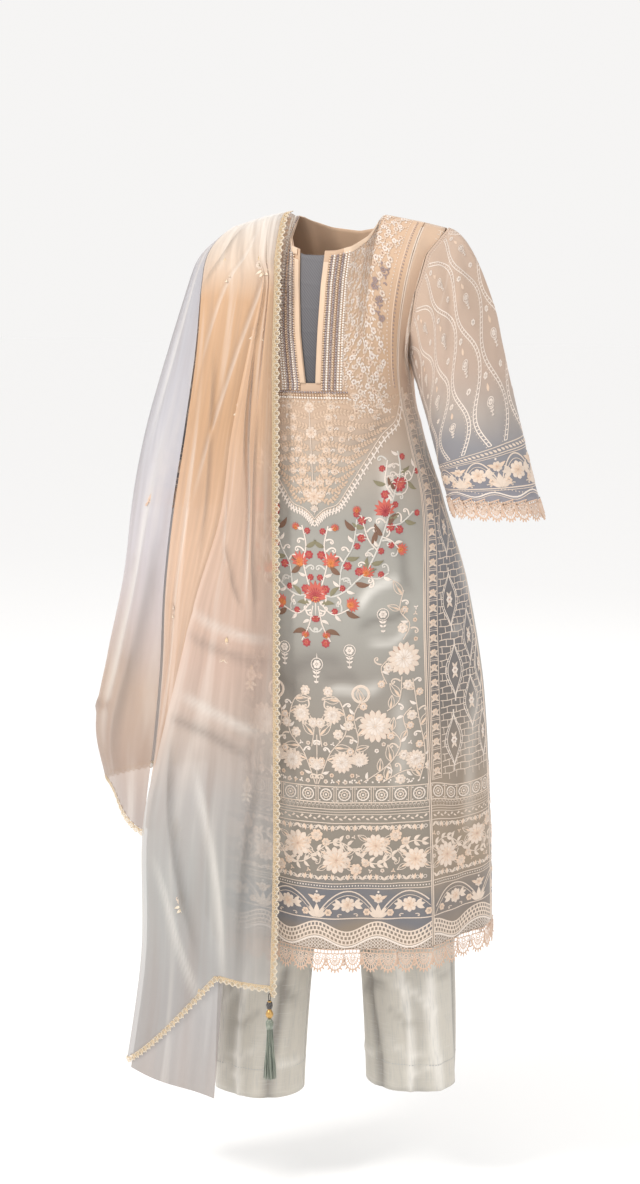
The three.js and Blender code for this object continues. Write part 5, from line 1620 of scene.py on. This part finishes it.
# side, cuff middle x and y, how much longer
LEGS = {"right": (-1, -118, -50, 12), "left": (1, 110, 18, 0)}


def leg_point(name):
    side, cuff_x, cuff_y, longer = LEGS[name]

    def surface(share, z):
        share, z = np.broadcast_arrays(np.asarray(share, float), np.asarray(z, float))
        angle = np.pi * share
        hip_wide = blend(WAIST_WIDE, HIP_WIDE, smooth((WAIST_Z - z) / (WAIST_Z - CROTCH_Z)))
        hip = np.stack([side * (hip_wide * np.sin(angle) + 0.6), -HIP_DEEP * np.cos(angle) + HIP_BACK, z], -1)
        full = np.radians(blend(-90, 270, share) + (share - 0.5) * -0.6)
        fall = np.clip((CROTCH_Z - z) / (CROTCH_Z - CUFF_Z), 0, 1)
        middle_x = blend(side * KNEE_X, cuff_x, smooth(fall))
        middle_y = blend(HIP_BACK, cuff_y, fall)
        wide = blend(KNEE_WIDE, CUFF_WIDE, fall)
        deep = blend(KNEE_DEEP, CUFF_DEEP, fall)
        crease = 5 * smooth(fall * 2) * np.exp(-((share - 0.3) / 0.05) ** 2)
        leg = np.stack([middle_x + side * (wide - crease) * np.sin(full),
                        middle_y - (deep - crease) * np.cos(full), z - longer * fall], -1)
        return blend(hip, leg, smooth((CROTCH_Z + 90 - z) / 110)[..., None])
    return surface


# On a leg's flat cut s runs from the inseam round the front, the outside and the back.
LEG_CREASES = [
    (118, -1080, 120, -1345, 5, 5.0), (60, -1090, 66, -1345, 8, -5.0), (166, -1090, 160, -1345, 8, 4.6),
    (30, -1180, 90, -1160, 8, -3.0), (215, -1060, 222, -1345, 9, -4.6), (260, -1100, 268, -1345, 9, 4.0),
    (330, -1080, 336, -1330, 12, 2.4), (300, -1000, 290, -1200, 12, -2.4), (90, -1260, 150, -1272, 5, 1.8),
    (100, -1150, 170, -1200, 6, 2.8), (20, -1290, 70, -1270, 6, 2.4), (140, -1120, 200, -1150, 6, -2.4),
    (40, -1130, 100, -1110, 4, 2.4), (90, -1200, 150, -1230, 4, -2.4), (110, -1300, 170, -1290, 4, 2.2),
]
HEM_STITCH, STITCH_STEP = 45, 4.6
TROUSER_WALL = 1.1
trouser_paint = Paint("slubby_trouser_cloth", Sheen_Weight=0.2, Specular_IOR_Level=0.3)
spot, _, _, high = trouser_paint.place()
flat, across, up = trouser_paint.cut()
slub = trouser_paint.noise(trouser_paint.node("ShaderNodeMapping", None, {0: flat, 3: (420, 34, 1)}), 1.0,
                           3.0)
bars = trouser_paint.noise(trouser_paint.node("ShaderNodeMapping", None, {0: flat, 3: (30, 480, 1)}), 1.0,
                           3.0)
drift = trouser_paint.noise(spot, 6.0)
colour = trouser_paint.mix(drift, dye("#c2beb4"), dye("#d2cabd"))
# Long soft streaks of painted fold shade down the legs.
painted_trouser_streaks = trouser_paint.noise(trouser_paint.node("ShaderNodeMapping", None, {0: flat, 3: (17, 2.0, 1)}),
                                1.0, 3.0)
colour = trouser_paint.mix(painted_trouser_streaks.between(0.48, 0.72) * 0.34, colour, dye("#98948d"))
# Painted crease shade and highlight, from each point's grey.
colour = trouser_paint.folds(colour, 1.3)
colour = trouser_paint.mix(slub.between(0.45, 0.8) * 0.35, colour, dye("#9fa2a4"))
colour = trouser_paint.mix(bars.between(0.5, 0.8) * 0.25, colour, dye("#dedbd4"))
trouser_paint.bump(slub + bars, 0.3, 0.0008)
trouser_cloth = trouser_paint.set(Base_Color=colour, Roughness=0.7 + slub * 0.1)

leg_cuts = {}
for name, (side, *_rest) in LEGS.items():
    cut = FlatCut(leg_point(name), (CUFF_Z, WAIST_Z), (0, 1), 0, side, LEG_CREASES, lambda height: height)
    leg_cuts[name] = cut
    share = np.repeat(np.linspace(0, 1, 64)[:, None], 90, axis=1)
    up_rows = np.broadcast_to(np.linspace(CUFF_Z, WAIST_Z, 90), share.shape)
    leg = lay_cloth(f"trouser_leg_{name}_cloth", cut, share, up_rows, TROUSER_WALL, side < 0)
    dressed(leg, trouser_cloth, f"trouser_leg_{name}")

hem_stitch = Threadwork(69)
hem_stitch.leaf((-1.7, 0), 0, 3.4, 1.3, dye("#b9bbba"), high=0.5, parts=4)
stitch_unit = hem_stitch.as_unit("stitch_unit")
for name, cut in leg_cuts.items():
    line = [(cut, *cut.edges(CUFF_Z + HEM_STITCH))]
    points, outward, upward = along_edge(line, CUFF_Z + HEM_STITCH, STITCH_STEP)
    stitches = sew_on(f"hem_stitches_{name}", stitch_unit, points + outward * 0.45, outward, upward,
                      silk_thread)
set_aside(stitch_unit)

turn = np.repeat(np.linspace(0, 1, 81)[:, None], 4, axis=1)
band_z = np.broadcast_to(np.linspace(WAIST_Z + 0.3, WAIST_Z + 35, 4), turn.shape)
angle = turn * 2 * np.pi
band_points = np.stack([(WAIST_WIDE + 0.6) * np.sin(angle), HIP_BACK - HIP_DEEP * np.cos(angle), band_z], -1)
band_uv = np.stack([turn * 0.675, band_z * MM], -1).reshape(-1, 2)
band_corners = np.ravel(grid_faces(81, 4))
waistband = lay_mesh("waistband_cloth", band_points.reshape(-1, 3)[:320], grid_faces(81, 4, closed=True),
                     band_uv[band_corners], painted_crease_grey(np.zeros(320)))
dressed(thicken(waistband, 2 * TROUSER_WALL), trouser_cloth, "waistband")

# ---------------------------------------------------------------- dupatta
# A long stole of sheer organza, dyed in soft bands, gathered over the wearer's right shoulder. Its front end
# hangs before the kurta in two layers, its middle covers the arm and its other end falls behind.
# height, then x, y of each long fold: lace edge, fold, middle, outer, back, inner
DRAPE = np.array([
    (0, -88, 8, -117, 11, -178, 17, -189, 22, -178, 29, -88, 11),
    (0, -83, -36, -112, -33, -190, -14, -207, 16, -189, 50, -86, 58),
    (-60, -76, -86, -100, -86, -193, -54, -222, 6, -194, 66, -84, 88),
    (-100, -70, -106, -88, -108, -194, -74, -238, 2, -204, 66, -84, 96),
    (-200, -68, -121, -106, -122, -197, -92, -274, 2, -226, 78, -88, 110),
    (-320, -65, -130, -131, -126, -214, -97, -311, 0, -256, 86, -94, 120),
    (-440, -62, -140, -149, -128, -235, -97, -336, -4, -282, 90, -100, 131),
    (-560, -57, -152, -188, -128, -250, -96, -354, -8, -298, 92, -108, 142),
    (-680, -54, -162, -220, -127, -257, -95, -380, -14, -310, 92, -116, 150),
    (-800, -52, -168, -252, -126, -270, -94, -400, -20, -322, 92, -124, 157),
    (-930, -51, -172, -282, -124, -288, -94, -376, -24, -326, 92, -130, 162),
    (-1130, -55, -176, -289, -120, -300, -94, -392, -24, -330, 92, -134, 166),
    (-1330, -62, -178, -322, -114, -320, -94, -392, -24, -334, 92, -138, 168),
], float)
LINES = ("lace", "fold", "mid", "outer", "back", "inner")
# heights of the first two rows, which follow the shoulder's slope
SHOULDER_ROWS = np.array([(6, 1, -16, -24, -16, 6), (-6, -10, -34, -40, -34, -8)], float)


def drape_line(line, v):
    k = LINES.index(line)
    rows = np.stack([np.arange(len(DRAPE)), DRAPE[:, 1 + 2 * k], DRAPE[:, 2 + 2 * k], DRAPE[:, 0]], -1)
    rows[:2, 3] = SHOULDER_ROWS[:, k]
    return read_past(rows, v)


def read_past(rows, v):
    """As read_rows, but the last stretch runs on a little past the table's end."""
    inside = read_rows(rows, v)[..., 1:]
    past = np.maximum(np.asarray(v, float) - rows[-1, 0], 0)[..., None]
    return inside + past * (rows[-1, 1:] - rows[-2, 1:])


def front_drape(u, v):
    point = blend(drape_line("lace", v), drape_line("fold", v), np.asarray(u)[..., None])
    grown = smooth((v - 3) / 4)
    point[..., 1] -= np.sin(u * 9.2 + 0.7) * 4 * grown + np.sin(np.pi * np.clip(u, 0, 1)) * 14 * grown
    return point


def middle_drape(u, v):
    start = drape_line("fold", v)
    start[..., 0] += -2.2 + 14.2 * smooth(v / 3)
    start[..., 1] += 9 * smooth(v / 1.5) + 4 * smooth(v - 2)
    point = blend(start, drape_line("mid", v), np.asarray(u)[..., None])
    grown = smooth((v - 2) / 4)
    point[..., 1] -= np.sin(np.pi * u) * 10 * grown + np.sin(u * 10) * 2.4 * grown
    return point


def outer_drape(u, v):
    a, c = drape_line("mid", v), drape_line("back", v)
    b = 2 * drape_line("outer", v) - (a + c) / 2
    t = np.asarray(u)[..., None]
    point = a * (1 - t) ** 2 + 2 * b * t * (1 - t) + c * t ** 2
    grown = smooth((v - 3) / 4) * np.sin(np.pi * np.clip(u, 0, 1))
    point[..., 0] -= np.sin(u * 15) * 4 * grown
    return point


def back_drape(u, v):
    point = blend(drape_line("inner", v), drape_line("back", v), np.asarray(u)[..., None])
    grown = smooth((v - 3) / 4)
    point[..., 1] += (np.sin(u * 12) * 5 + np.sin(np.pi * np.clip(u, 0, 1)) * 14) * grown
    return point


def outward_of(surface, u, v, flip):
    a = surface(u + 0.01, v) - surface(u - 0.01, v)
    b = surface(u, v + 0.05) - surface(u, v - 0.05)
    outward = np.cross(a, b)
    return outward / np.linalg.norm(outward, axis=-1, keepdims=True) * flip


def under_drape(u, v):
    back = 3.0 + 6 * (1 - u) * smooth((v - 1) / 3)
    return front_drape(u, v) + outward_of(front_drape, u, v, -1) * back[..., None]


def front_end(u):
    return blend(11.02, 11.82, np.maximum(u - 0.4, 0) / 0.6)


def under_end(u):
    return blend(12.08, 11.92, u)


def outer_end(u):
    return blend(10.05, 9.6, smooth(u / 0.45))


def middle_end(u):
    return 10 + 0 * u


def back_end(u):
    return blend(9.5, 9.6, u)


# Creases on a stretch: from (u, v) to (u, v), half width in mm, depth.
FRONT_FOLDS = [
    (0.03, 7.42, 0.99, 7.25, 7, 2.4), (0.02, 7.68, 0.99, 7.5, 8, -2.0), (0.1, 8.55, 0.9, 8.3, 8, 2.8),
    (0.2, 8.82, 0.95, 8.58, 8, -2.6), (0.72, 4.0, 0.3, 6.9, 5, 3.6), (0.36, 4.8, 0.22, 7.1, 5, -3.4),
    (0.9, 9.0, 0.55, 10.8, 6, -3.8), (0.6, 9.2, 0.35, 11.0, 6, 3.4), (0.15, 9.0, 0.2, 11.0, 6, -2.8),
    (0.9, 10.3, 0.5, 11.2, 5, 3.0), (0.88, 2.6, 0.55, 5.4, 5, -3.0), (0.55, 1.6, 0.42, 4.4, 5, 3.0),
    (0.95, 5.8, 0.6, 6.6, 4, 2.8), (0.8, 6.3, 0.35, 7.0, 4, -2.6),
]
MIDDLE_FOLDS = [
    (0.2, 1.2, 0.85, 4.0, 5, 2.4), (0.5, 1.0, 0.98, 3.0, 5, -2.4), (0.1, 2.5, 0.6, 5.6, 6, 2.4),
    (0.7, 4.0, 0.3, 6.6, 6, -2.2), (0.85, 4.6, 0.6, 8.2, 6, 2.4),
]
OUTER_FOLDS = [
    (0.15, 1.4, 0.3, 5.0, 8, 3.0), (0.35, 2.0, 0.55, 6.4, 9, -3.0), (0.2, 5.2, 0.35, 9.0, 9, 3.0),
    (0.6, 4.0, 0.7, 9.0, 10, 3.0), (0.1, 6.4, 0.2, 9.4, 7, -2.6), (0.8, 3.0, 0.9, 8.6, 9, -3.0),
    (0.3, 8.6, 0.7, 8.9, 8, -2.4),
]
BACK_FOLDS = [
    (0.2, 2.0, 0.3, 8.6, 10, 3.0), (0.5, 3.0, 0.55, 9.0, 11, -3.4), (0.75, 2.4, 0.7, 9.0, 10, 3.2),
    (0.1, 5.0, 0.8, 5.4, 10, -2.0),
]


FOLD_DEEP = 1.4              # how much more the creases stand out than their listed depth


def folded_stretch(surface, u, v, flip, folds, wide=200.0):
    points = surface(u, v)
    outward = outward_of(surface, u, v, flip)
    for u0, v0, u1, v1, half, deep in folds:
        along = np.array([(u1 - u0) * wide, (v1 - v0) * 120])
        long = np.hypot(*along)
        along = along / long
        run = ((u - u0) * wide * along[0] + (v - v0) * 120 * along[1]) / long
        off = (u - u0) * wide * along[1] - (v - v0) * 120 * along[0] + 6 * np.sin(run * 4 + u0 * 9)
        share = np.exp(-(off / half) ** 2) * smooth(run * 2.5 + 0.4) * smooth((1 - run) * 2.5 + 0.4)
        points = points + outward * (deep * FOLD_DEEP * share)[..., None]
    return points


SINGLE_LAYER = 0.10          # beside the lace the front stretch is one layer, and clearer


def stole_finish(name, stops, alpha, edge_clear=0.0):
    """Sheer organza: the dye runs down the cloth, long streaks of painted fold shade and painted highlight
    lie on it, and the yarns leave it partly clear.
    """
    paint = Paint(name, Sheen_Weight=0.35, Sheen_Roughness=0.3, Specular_IOR_Level=0.4)
    spot, _, _, high = paint.place()
    flat, across, up = paint.cut()
    colour = down_run(paint, high + (paint.noise(spot, 5.0) - 0.5) * 0.09, stops)
    # Long soft streaks of painted fold shade with painted highlight between them, then painted crease shade
    # from each point's grey.
    painted_fold_streaks = paint.noise(paint.node("ShaderNodeMapping", None, {0: flat, 3: (26, 2.6, 1)}), 1.0, 3.0)
    colour = paint.mix(painted_fold_streaks.between(0.46, 0.72) * 0.3, colour, dye("#9c887c"))
    colour = paint.folds(paint.mix((1 - painted_fold_streaks).between(0.5, 0.72) * 0.3, colour, dye("#f6ece2")), 0.9)
    weave = across.wave(0.0012) * up.wave(0.0012)
    paint.bump(weave + paint.noise(spot, 45.0), 0.2, 0.0005)
    clear = paint.noise(paint.node("ShaderNodeMapping", None, {0: flat, 3: (60, 5, 1)}), 1.0)
    body = (across / SINGLE_LAYER).between(0.0, 1.0)
    clear = alpha - 0.08 + clear * 0.16 - (1 - body) * edge_clear
    return paint.set(Base_Color=colour, Roughness=0.45 + weave * 0.1, Alpha=clear)


def stretch_piece(name, surface, columns, rows, first, end, flip, folds, finish):
    u = np.repeat(columns[:, None], rows, axis=1)
    v = first + (end(columns)[:, None] - first) * np.linspace(0, 1, rows)[None, :]
    points = folded_stretch(surface, u, v, flip, folds)
    uv = np.stack([u * 0.25, v * -0.12], -1).reshape(-1, 2)
    # How far each point moved in or out, kept as the grey of the painted crease shade.
    moved = np.sum((points - surface(u, v)) * outward_of(surface, u, v, flip), axis=-1)
    faces = grid_faces(*u.shape, flip=flip > 0)
    piece = lay_mesh(f"{name}_cloth", points.reshape(-1, 3), faces, uv, painted_crease_grey(moved))
    return dressed(piece, finish, name)


front_sheer = stole_finish("front_sheer", [
    (0.0, "#e9e2da"), (-0.05, "#e4d4c5"), (-0.11, "#d9b18d"), (-0.30, "#d8b190"), (-0.42, "#dab8a0"),
    (-0.64, "#d6b9a9"), (-0.76, "#cbb9ad"), (-0.86, "#b9b3af"), (-1.00, "#adaca9"), (-1.20, "#aaa6a4"),
], 0.78, 0.26)
under_sheer = stole_finish("under_sheer", [
    (0.0, "#e6d9cb"), (-0.3, "#d8bfa8"), (-0.7, "#c9b8ac"), (-1.0, "#aaa5a1"), (-1.2, "#95908e"),
    (-1.34, "#938983"),
], 0.8)
middle_sheer = stole_finish("middle_sheer", [
    (0.0, "#e9e2da"), (-0.05, "#e2cfbd"), (-0.12, "#d2a984"), (-0.30, "#cfa580"), (-0.50, "#dbb699"),
    (-0.75, "#cbac97"), (-1.00, "#ab9d93"),
], 0.86)
# Lavender dye turning peach; its lowest stops are darker with painted shade as well as dye.
outer_sheer = stole_finish("outer_sheer", [
    (0.0, "#d9d3d2"), (-0.08, "#b9b7bd"), (-0.2, "#bebcc2"), (-0.35, "#c6c3c9"), (-0.5, "#cbc4c8"),
    (-0.60, "#cabcb9"), (-0.70, "#c1a896"), (-0.84, "#ae9585"), (-0.95, "#94837b"),
], 0.8)
back_sheer = stole_finish("back_sheer", [
    (0.0, "#e6dfd8"), (-0.1, "#dcc3ac"), (-0.3, "#d2c5c0"), (-0.55, "#cbc4c8"), (-0.75, "#cfc0b6"),
    (-0.88, "#b7aaa2"),
], 0.82)
dupatta_front = stretch_piece("dupatta_front", front_drape, np.linspace(0, 1, 60), 190, 0, front_end, -1,
                              FRONT_FOLDS, front_sheer)
dupatta_under = stretch_piece("dupatta_under", under_drape, np.linspace(0.36, 0.97, 40), 120, 2.6,
                              under_end, -1,
                              FRONT_FOLDS, under_sheer)
dupatta_middle = stretch_piece("dupatta_middle", middle_drape, np.linspace(0, 0.998, 40), 130, 0,
                               middle_end, -1,
                               MIDDLE_FOLDS, middle_sheer)
dupatta_outer = stretch_piece("dupatta_outer", outer_drape, np.linspace(0.01, 0.99, 60), 120, 0.1,
                              outer_end, -1,
                              OUTER_FOLDS, outer_sheer)
dupatta_back = stretch_piece("dupatta_back", back_drape, np.linspace(0, 0.99, 50), 120, 0, back_end, 1,
                             BACK_FOLDS, back_sheer)

# Looped gold lace along the front edge and the hems, and small woven sprigs scattered over the sheer cloth.
LOOP_WIDE = 11.5
gold_lace = thread_finish("gold_lace", 0.4, 0.5)
loop = Threadwork(71)
LACE_GOLD, LACE_LIGHT = dye("#ecd3ab"), dye("#f6e8d2")
for y in (-0.8, -2.8):
    loop.ribbon([(-LOOP_WIDE / 2, y), (LOOP_WIDE / 2, y)], 1.4, LACE_GOLD, 0.9)
for x in (-LOOP_WIDE / 3, 0, LOOP_WIDE / 3):
    loop.dot((x, -1.8), 1.1, LACE_LIGHT, 1.2)
loop.ring((0, -6.6), 3.6, 1.7, LACE_LIGHT, 12, 1.0)
loop.ring((0, -6.6), 1.5, 1.1, LACE_GOLD, 8, 0.8)
for side in (-1, 1):
    loop.ribbon([(side * LOOP_WIDE / 2, -3), (side * 3.4, -5.2)], 1.3, LACE_GOLD)
    loop.ribbon([(side * LOOP_WIDE / 2, -3), (side * LOOP_WIDE / 2, -6.4)], 1.3, LACE_GOLD)
    loop.dot((side * LOOP_WIDE / 2, -7.4), 1.3, LACE_LIGHT, 1.0)
loop.dot((0, -10.4), 1.2, LACE_LIGHT, 1.0)
edge_loop = loop.as_unit("edge_loop")


def even_line(surface, u, v, flip, folds, into, step):
    """Even places on a line of a stretch: points, outward directions, and those that lead into the cloth."""
    points = folded_stretch(surface, u, v, flip, folds)
    inner = folded_stretch(surface, u + into[0], v + into[1], flip, folds)
    outward = outward_of(surface, u, v, flip)
    return evenly([points, outward, inner - points], step)


fine = np.linspace(0, 1, 160)
LACE_LINES = {
    "front_edge": (front_drape, 0 * fine, 0.05 + fine * 11.05, -1, FRONT_FOLDS, (0.05, 0)),
    "front_hem": (front_drape, fine, front_end(fine), -1, FRONT_FOLDS, (0, -0.08)),
    "outer_hem": (outer_drape, 0.01 + 0.98 * fine, outer_end(0.01 + 0.98 * fine), -1, OUTER_FOLDS,
                  (0, -0.08)),
    "back_hem": (back_drape, 0.99 * fine, back_end(0.99 * fine), 1, BACK_FOLDS, (0, -0.08)),
}
for name, line in LACE_LINES.items():
    points, outward, into = even_line(*line, LOOP_WIDE)
    lace = sew_on(f"dupatta_lace_{name}_loops", edge_loop, points, outward, into, gold_lace)
    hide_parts(f"dupatta_lace_{name}")

woven = Threadwork(73)
woven.flower((0, 2), 6.5, 6, CREAM, GOLD, 0, LACE_LIGHT)
woven.ribbon([(0, -3), (1, -13)], 1.3, LACE_GOLD)
for lean, long in ((200, 9), (335, 9), (225, 7), (315, 7)):
    woven.leaf((0.4, -6 if long > 8 else -10), lean, long, 3, LACE_LIGHT)
woven.leaf((0, 7), 90, 7, 3.2, LACE_GOLD)
woven_sprig = woven.as_unit("woven_sprig")
SPRIGS = {
    "front": (front_drape, -1, FRONT_FOLDS, [(0.93, 2.35), (0.72, 3.7), (0.9, 4.65), (0.55, 5.9), (0.83, 9.0),
                                             (0.21, 7.9), (0.71, 9.9), (0.66, 10.5), (0.3, 5.2), (0.5, 7.6),
                                             (0.2, 9.3)]),
    "middle": (middle_drape, -1, MIDDLE_FOLDS, [(0.9, 4.28), (0.7, 2.6), (0.6, 5.4), (0.8, 7.2), (0.5, 8.8)]),
    "outer": (outer_drape, -1, OUTER_FOLDS, [(0.24, 5.26), (0.25, 8.0), (0.5, 3.6), (0.6, 6.8), (0.35, 9.3),
                                             (0.8, 5.0), (0.75, 8.2)]),
    "back": (back_drape, 1, BACK_FOLDS, [(0.3, 3.4), (0.7, 5.0), (0.4, 6.6), (0.75, 8.0), (0.3, 8.6)]),
}
for name, (surface, flip, folds, places) in SPRIGS.items():
    u, v = np.array(places, float).T
    points = folded_stretch(surface, u, v, flip, folds)
    outward = outward_of(surface, u, v, flip)
    sprigs = sew_on(f"dupatta_sprigs_{name}", woven_sprig, points + outward * 1.4, outward,
                    points - folded_stretch(surface, u, v + 0.05, flip, folds), gold_lace, 1.35)
set_aside(edge_loop, woven_sprig)

# ---------------------------------------------------------------- tassel
# A cord loop at the lower front corner, a black and gold bead, a round gold bead, and a bound head from which
# grey-green silk threads fall.
corner = front_drape(np.array([0.0]), front_end(np.array([0.0])))[0]
TASSEL_X, TASSEL_Y, TASSEL_TOP = corner[0] - 1, corner[1], corner[2] - 11 - 1.2
CORD_LONG, BEADS_LONG, THREAD_LONG, HEAD_DEEP = 12, 27, 84, 12


def turned_piece(profile, top, sides=20):
    """A turned bead or head from (radius, drop) pairs."""
    turn = np.arange(sides) * 2 * np.pi / sides
    points = [(TASSEL_X + r * math.cos(a), TASSEL_Y + r * math.sin(a), top - drop)
              for r, drop in profile for a in turn]
    faces = []
    for k in range(len(profile) - 1):
        for j in range(sides):
            nxt = (j + 1) % sides
            faces.append((k * sides + j, (k + 1) * sides + j, (k + 1) * sides + nxt, k * sides + nxt))
    return points, faces


def tube(path, radius, sides=5):
    """Points and faces of a round thread along a path."""
    path = np.asarray(path, float)
    turn = np.arange(sides) * 2 * np.pi / sides
    along = np.gradient(path, axis=0)
    along /= np.linalg.norm(along, axis=1, keepdims=True)
    side = np.cross(along, [0.0, 1.0, 0.02])
    side /= np.linalg.norm(side, axis=1, keepdims=True)
    other = np.cross(along, side)
    ring = (side[:, None] * np.cos(turn)[None, :, None]
            + other[:, None] * np.sin(turn)[None, :, None]) * radius
    points = (path[:, None] + ring).reshape(-1, 3)
    faces = [(k * sides + j, k * sides + (j + 1) % sides, (k + 1) * sides + (j + 1) % sides,
              (k + 1) * sides + j)
             for k in range(len(path) - 1) for j in range(sides)]
    return points, faces


def gathered(parts):
    points, faces, count = [], [], 0
    for piece_points, piece_faces in parts:
        points.extend(np.asarray(piece_points).tolist())
        faces.extend([tuple(i + count for i in face) for face in piece_faces])
        count += len(piece_points)
    return points, faces


antique_gold = bead_finish("antique_gold", "#c79a4a", 0.9, 0.25, 0.15)
dark_enamel = bead_finish("dark_enamel", "#2c2522", 0.1, 0.2, 0.1)
first_bead = [(1.5, 12), (4.2, 14), (5.2, 18.5), (4.2, 23), (1.6, 25)]
ball_bead = [(1.6, 25), (4.6, 28), (6, 32.5), (4.6, 37), (1.5, 39)]
collar = [(2.6, 11.4), (3.2, 12.6), (2.4, 13.8)]
ring_between = [(2.2, 24.2), (3.4, 25), (2.2, 25.8)]
gold_parts = [turned_piece(profile, TASSEL_TOP) for profile in (ball_bead, collar, ring_between)]
dressed(lay_mesh("tassel_gold_bead", *gathered(gold_parts)), antique_gold, "tassel_beads")
dressed(lay_mesh("tassel_dark_bead", *turned_piece(first_bead, TASSEL_TOP)), dark_enamel)

loop_turn = np.linspace(0, 2 * np.pi, 19)
cord_path = np.stack([TASSEL_X + 1.5 * np.sin(loop_turn), TASSEL_Y + 0 * loop_turn,
                      TASSEL_TOP - 6 - 6 * np.cos(loop_turn)], -1)
dressed(lay_mesh("tassel_cord", *tube(cord_path, 0.6)), gold_lace)

draw = np.random.default_rng(81)
HEAD_TOP = TASSEL_TOP - CORD_LONG - BEADS_LONG
strands = [turned_piece([(0.4, 0), (2.6, 0.6), (5, 4), (5.9, 10), (5.4, 16), (1, 17)], HEAD_TOP)]
for k in range(110):
    root = 4.9 * math.sqrt(draw.random())
    foot = root * 1.9 + draw.uniform(-0.8, 2.4)
    around = draw.uniform(0, 2 * np.pi)
    t = np.linspace(0, 1, 7)
    spread = root + (foot - root) * smooth(t * 0.9) + draw.uniform(-0.5, 0.5) * np.sin(t * 6)
    strands.append(tube(np.stack([TASSEL_X + spread * np.cos(around + 0.3 * t),
                                  TASSEL_Y + 0.8 * spread * np.sin(around + 0.3 * t),
                                  HEAD_TOP - HEAD_DEEP - (THREAD_LONG - draw.uniform(0, 3)) * t], -1), 0.42,
                                  4))
for drop in (5.5, 7, 8.5):
    strands.append(turned_piece([(5.2, drop - 0.7), (6.2, drop), (5.2, drop + 0.7)], HEAD_TOP))
tassel = lay_mesh("tassel_threads", *gathered(strands))
tassel_paint = Paint("tassel_silk", Sheen_Weight=0.4, Sheen_Roughness=0.3)
spot, _, _, high = tassel_paint.place()
strand_shade = tassel_paint.noise(tassel_paint.node("ShaderNodeMapping", None,
                                                    {0: spot, 3: (900, 900, 12)}), 1.0)
colour = tassel_paint.mix(strand_shade.between(0.35, 0.65), dye("#6f7a6e"), dye("#a3a899"))
tassel_silk = tassel_paint.set(Base_Color=colour, Roughness=0.4 + strand_shade * 0.15)
dressed(tassel, tassel_silk, "tassel")

# ---------------------------------------------------------------- floor, light and camera
# A plain pale floor, a wide soft light from the upper front and a weak fill; the camera stands a little to
# the wearer's left.
FLOOR_Z = -1.5
floor_points = [(-30000, -30000, FLOOR_Z * 1000), (30000, -30000, FLOOR_Z * 1000),
                (30000, 30000, FLOOR_Z * 1000), (-30000, 30000, FLOOR_Z * 1000)]
floor = lay_mesh("floor", floor_points, [(0, 1, 2, 3)])
floor_paint = Paint("pale_floor", Base_Color=dye("#ffffff"), Roughness=0.9, Specular_IOR_Level=0.1)
floor.data.materials.append(floor_paint.material)

world = bpy.data.worlds.new("studio")
world.use_nodes = True
world.node_tree.nodes["Background"].inputs[0].default_value = (1.0, 0.99, 0.98, 1)
world.node_tree.nodes["Background"].inputs[1].default_value = 0.92
bpy.context.scene.world = world
bpy.context.scene.view_settings.view_transform = "Standard"


def soft_light(name, place, aim, size, power, colour):
    data = bpy.data.lights.new(name, "AREA")
    data.shape = "DISK"
    data.size = size
    data.energy = power
    data.color = colour
    light = bpy.data.objects.new(name, data)
    bpy.context.scene.collection.objects.link(light)
    light.location = place
    away = np.array(place) - np.array(aim)
    flat_reach = math.hypot(away[0], away[1])
    light.rotation_euler = (math.atan2(flat_reach, away[2]), 0, math.atan2(away[1], away[0]) + math.pi / 2)
    return light


soft_light("key", (-1.9, -2.3, 2.1), (0, 0, -0.5), 1.0, 70, (1.0, 0.98, 0.95))
soft_light("fill", (2.6, -1.8, 0.6), (0, 0, -0.6), 2.0, 8, (0.94, 0.97, 1.0))
soft_light("rear", (0.5, 3.2, 1.8), (0, 0, -0.5), 2.0, 30, (1.0, 0.99, 0.97))

camera_data = bpy.data.cameras.new("camera")
camera = bpy.data.objects.new("camera", camera_data)
bpy.context.scene.collection.objects.link(camera)
camera.location = (0.8957, -2.8634, -0.0600)
camera.rotation_euler = (math.radians(80.47), 0, math.radians(18))
camera_data.sensor_width = 24
camera_data.lens = 2000 / 1184 * 24
bpy.context.scene.camera = camera
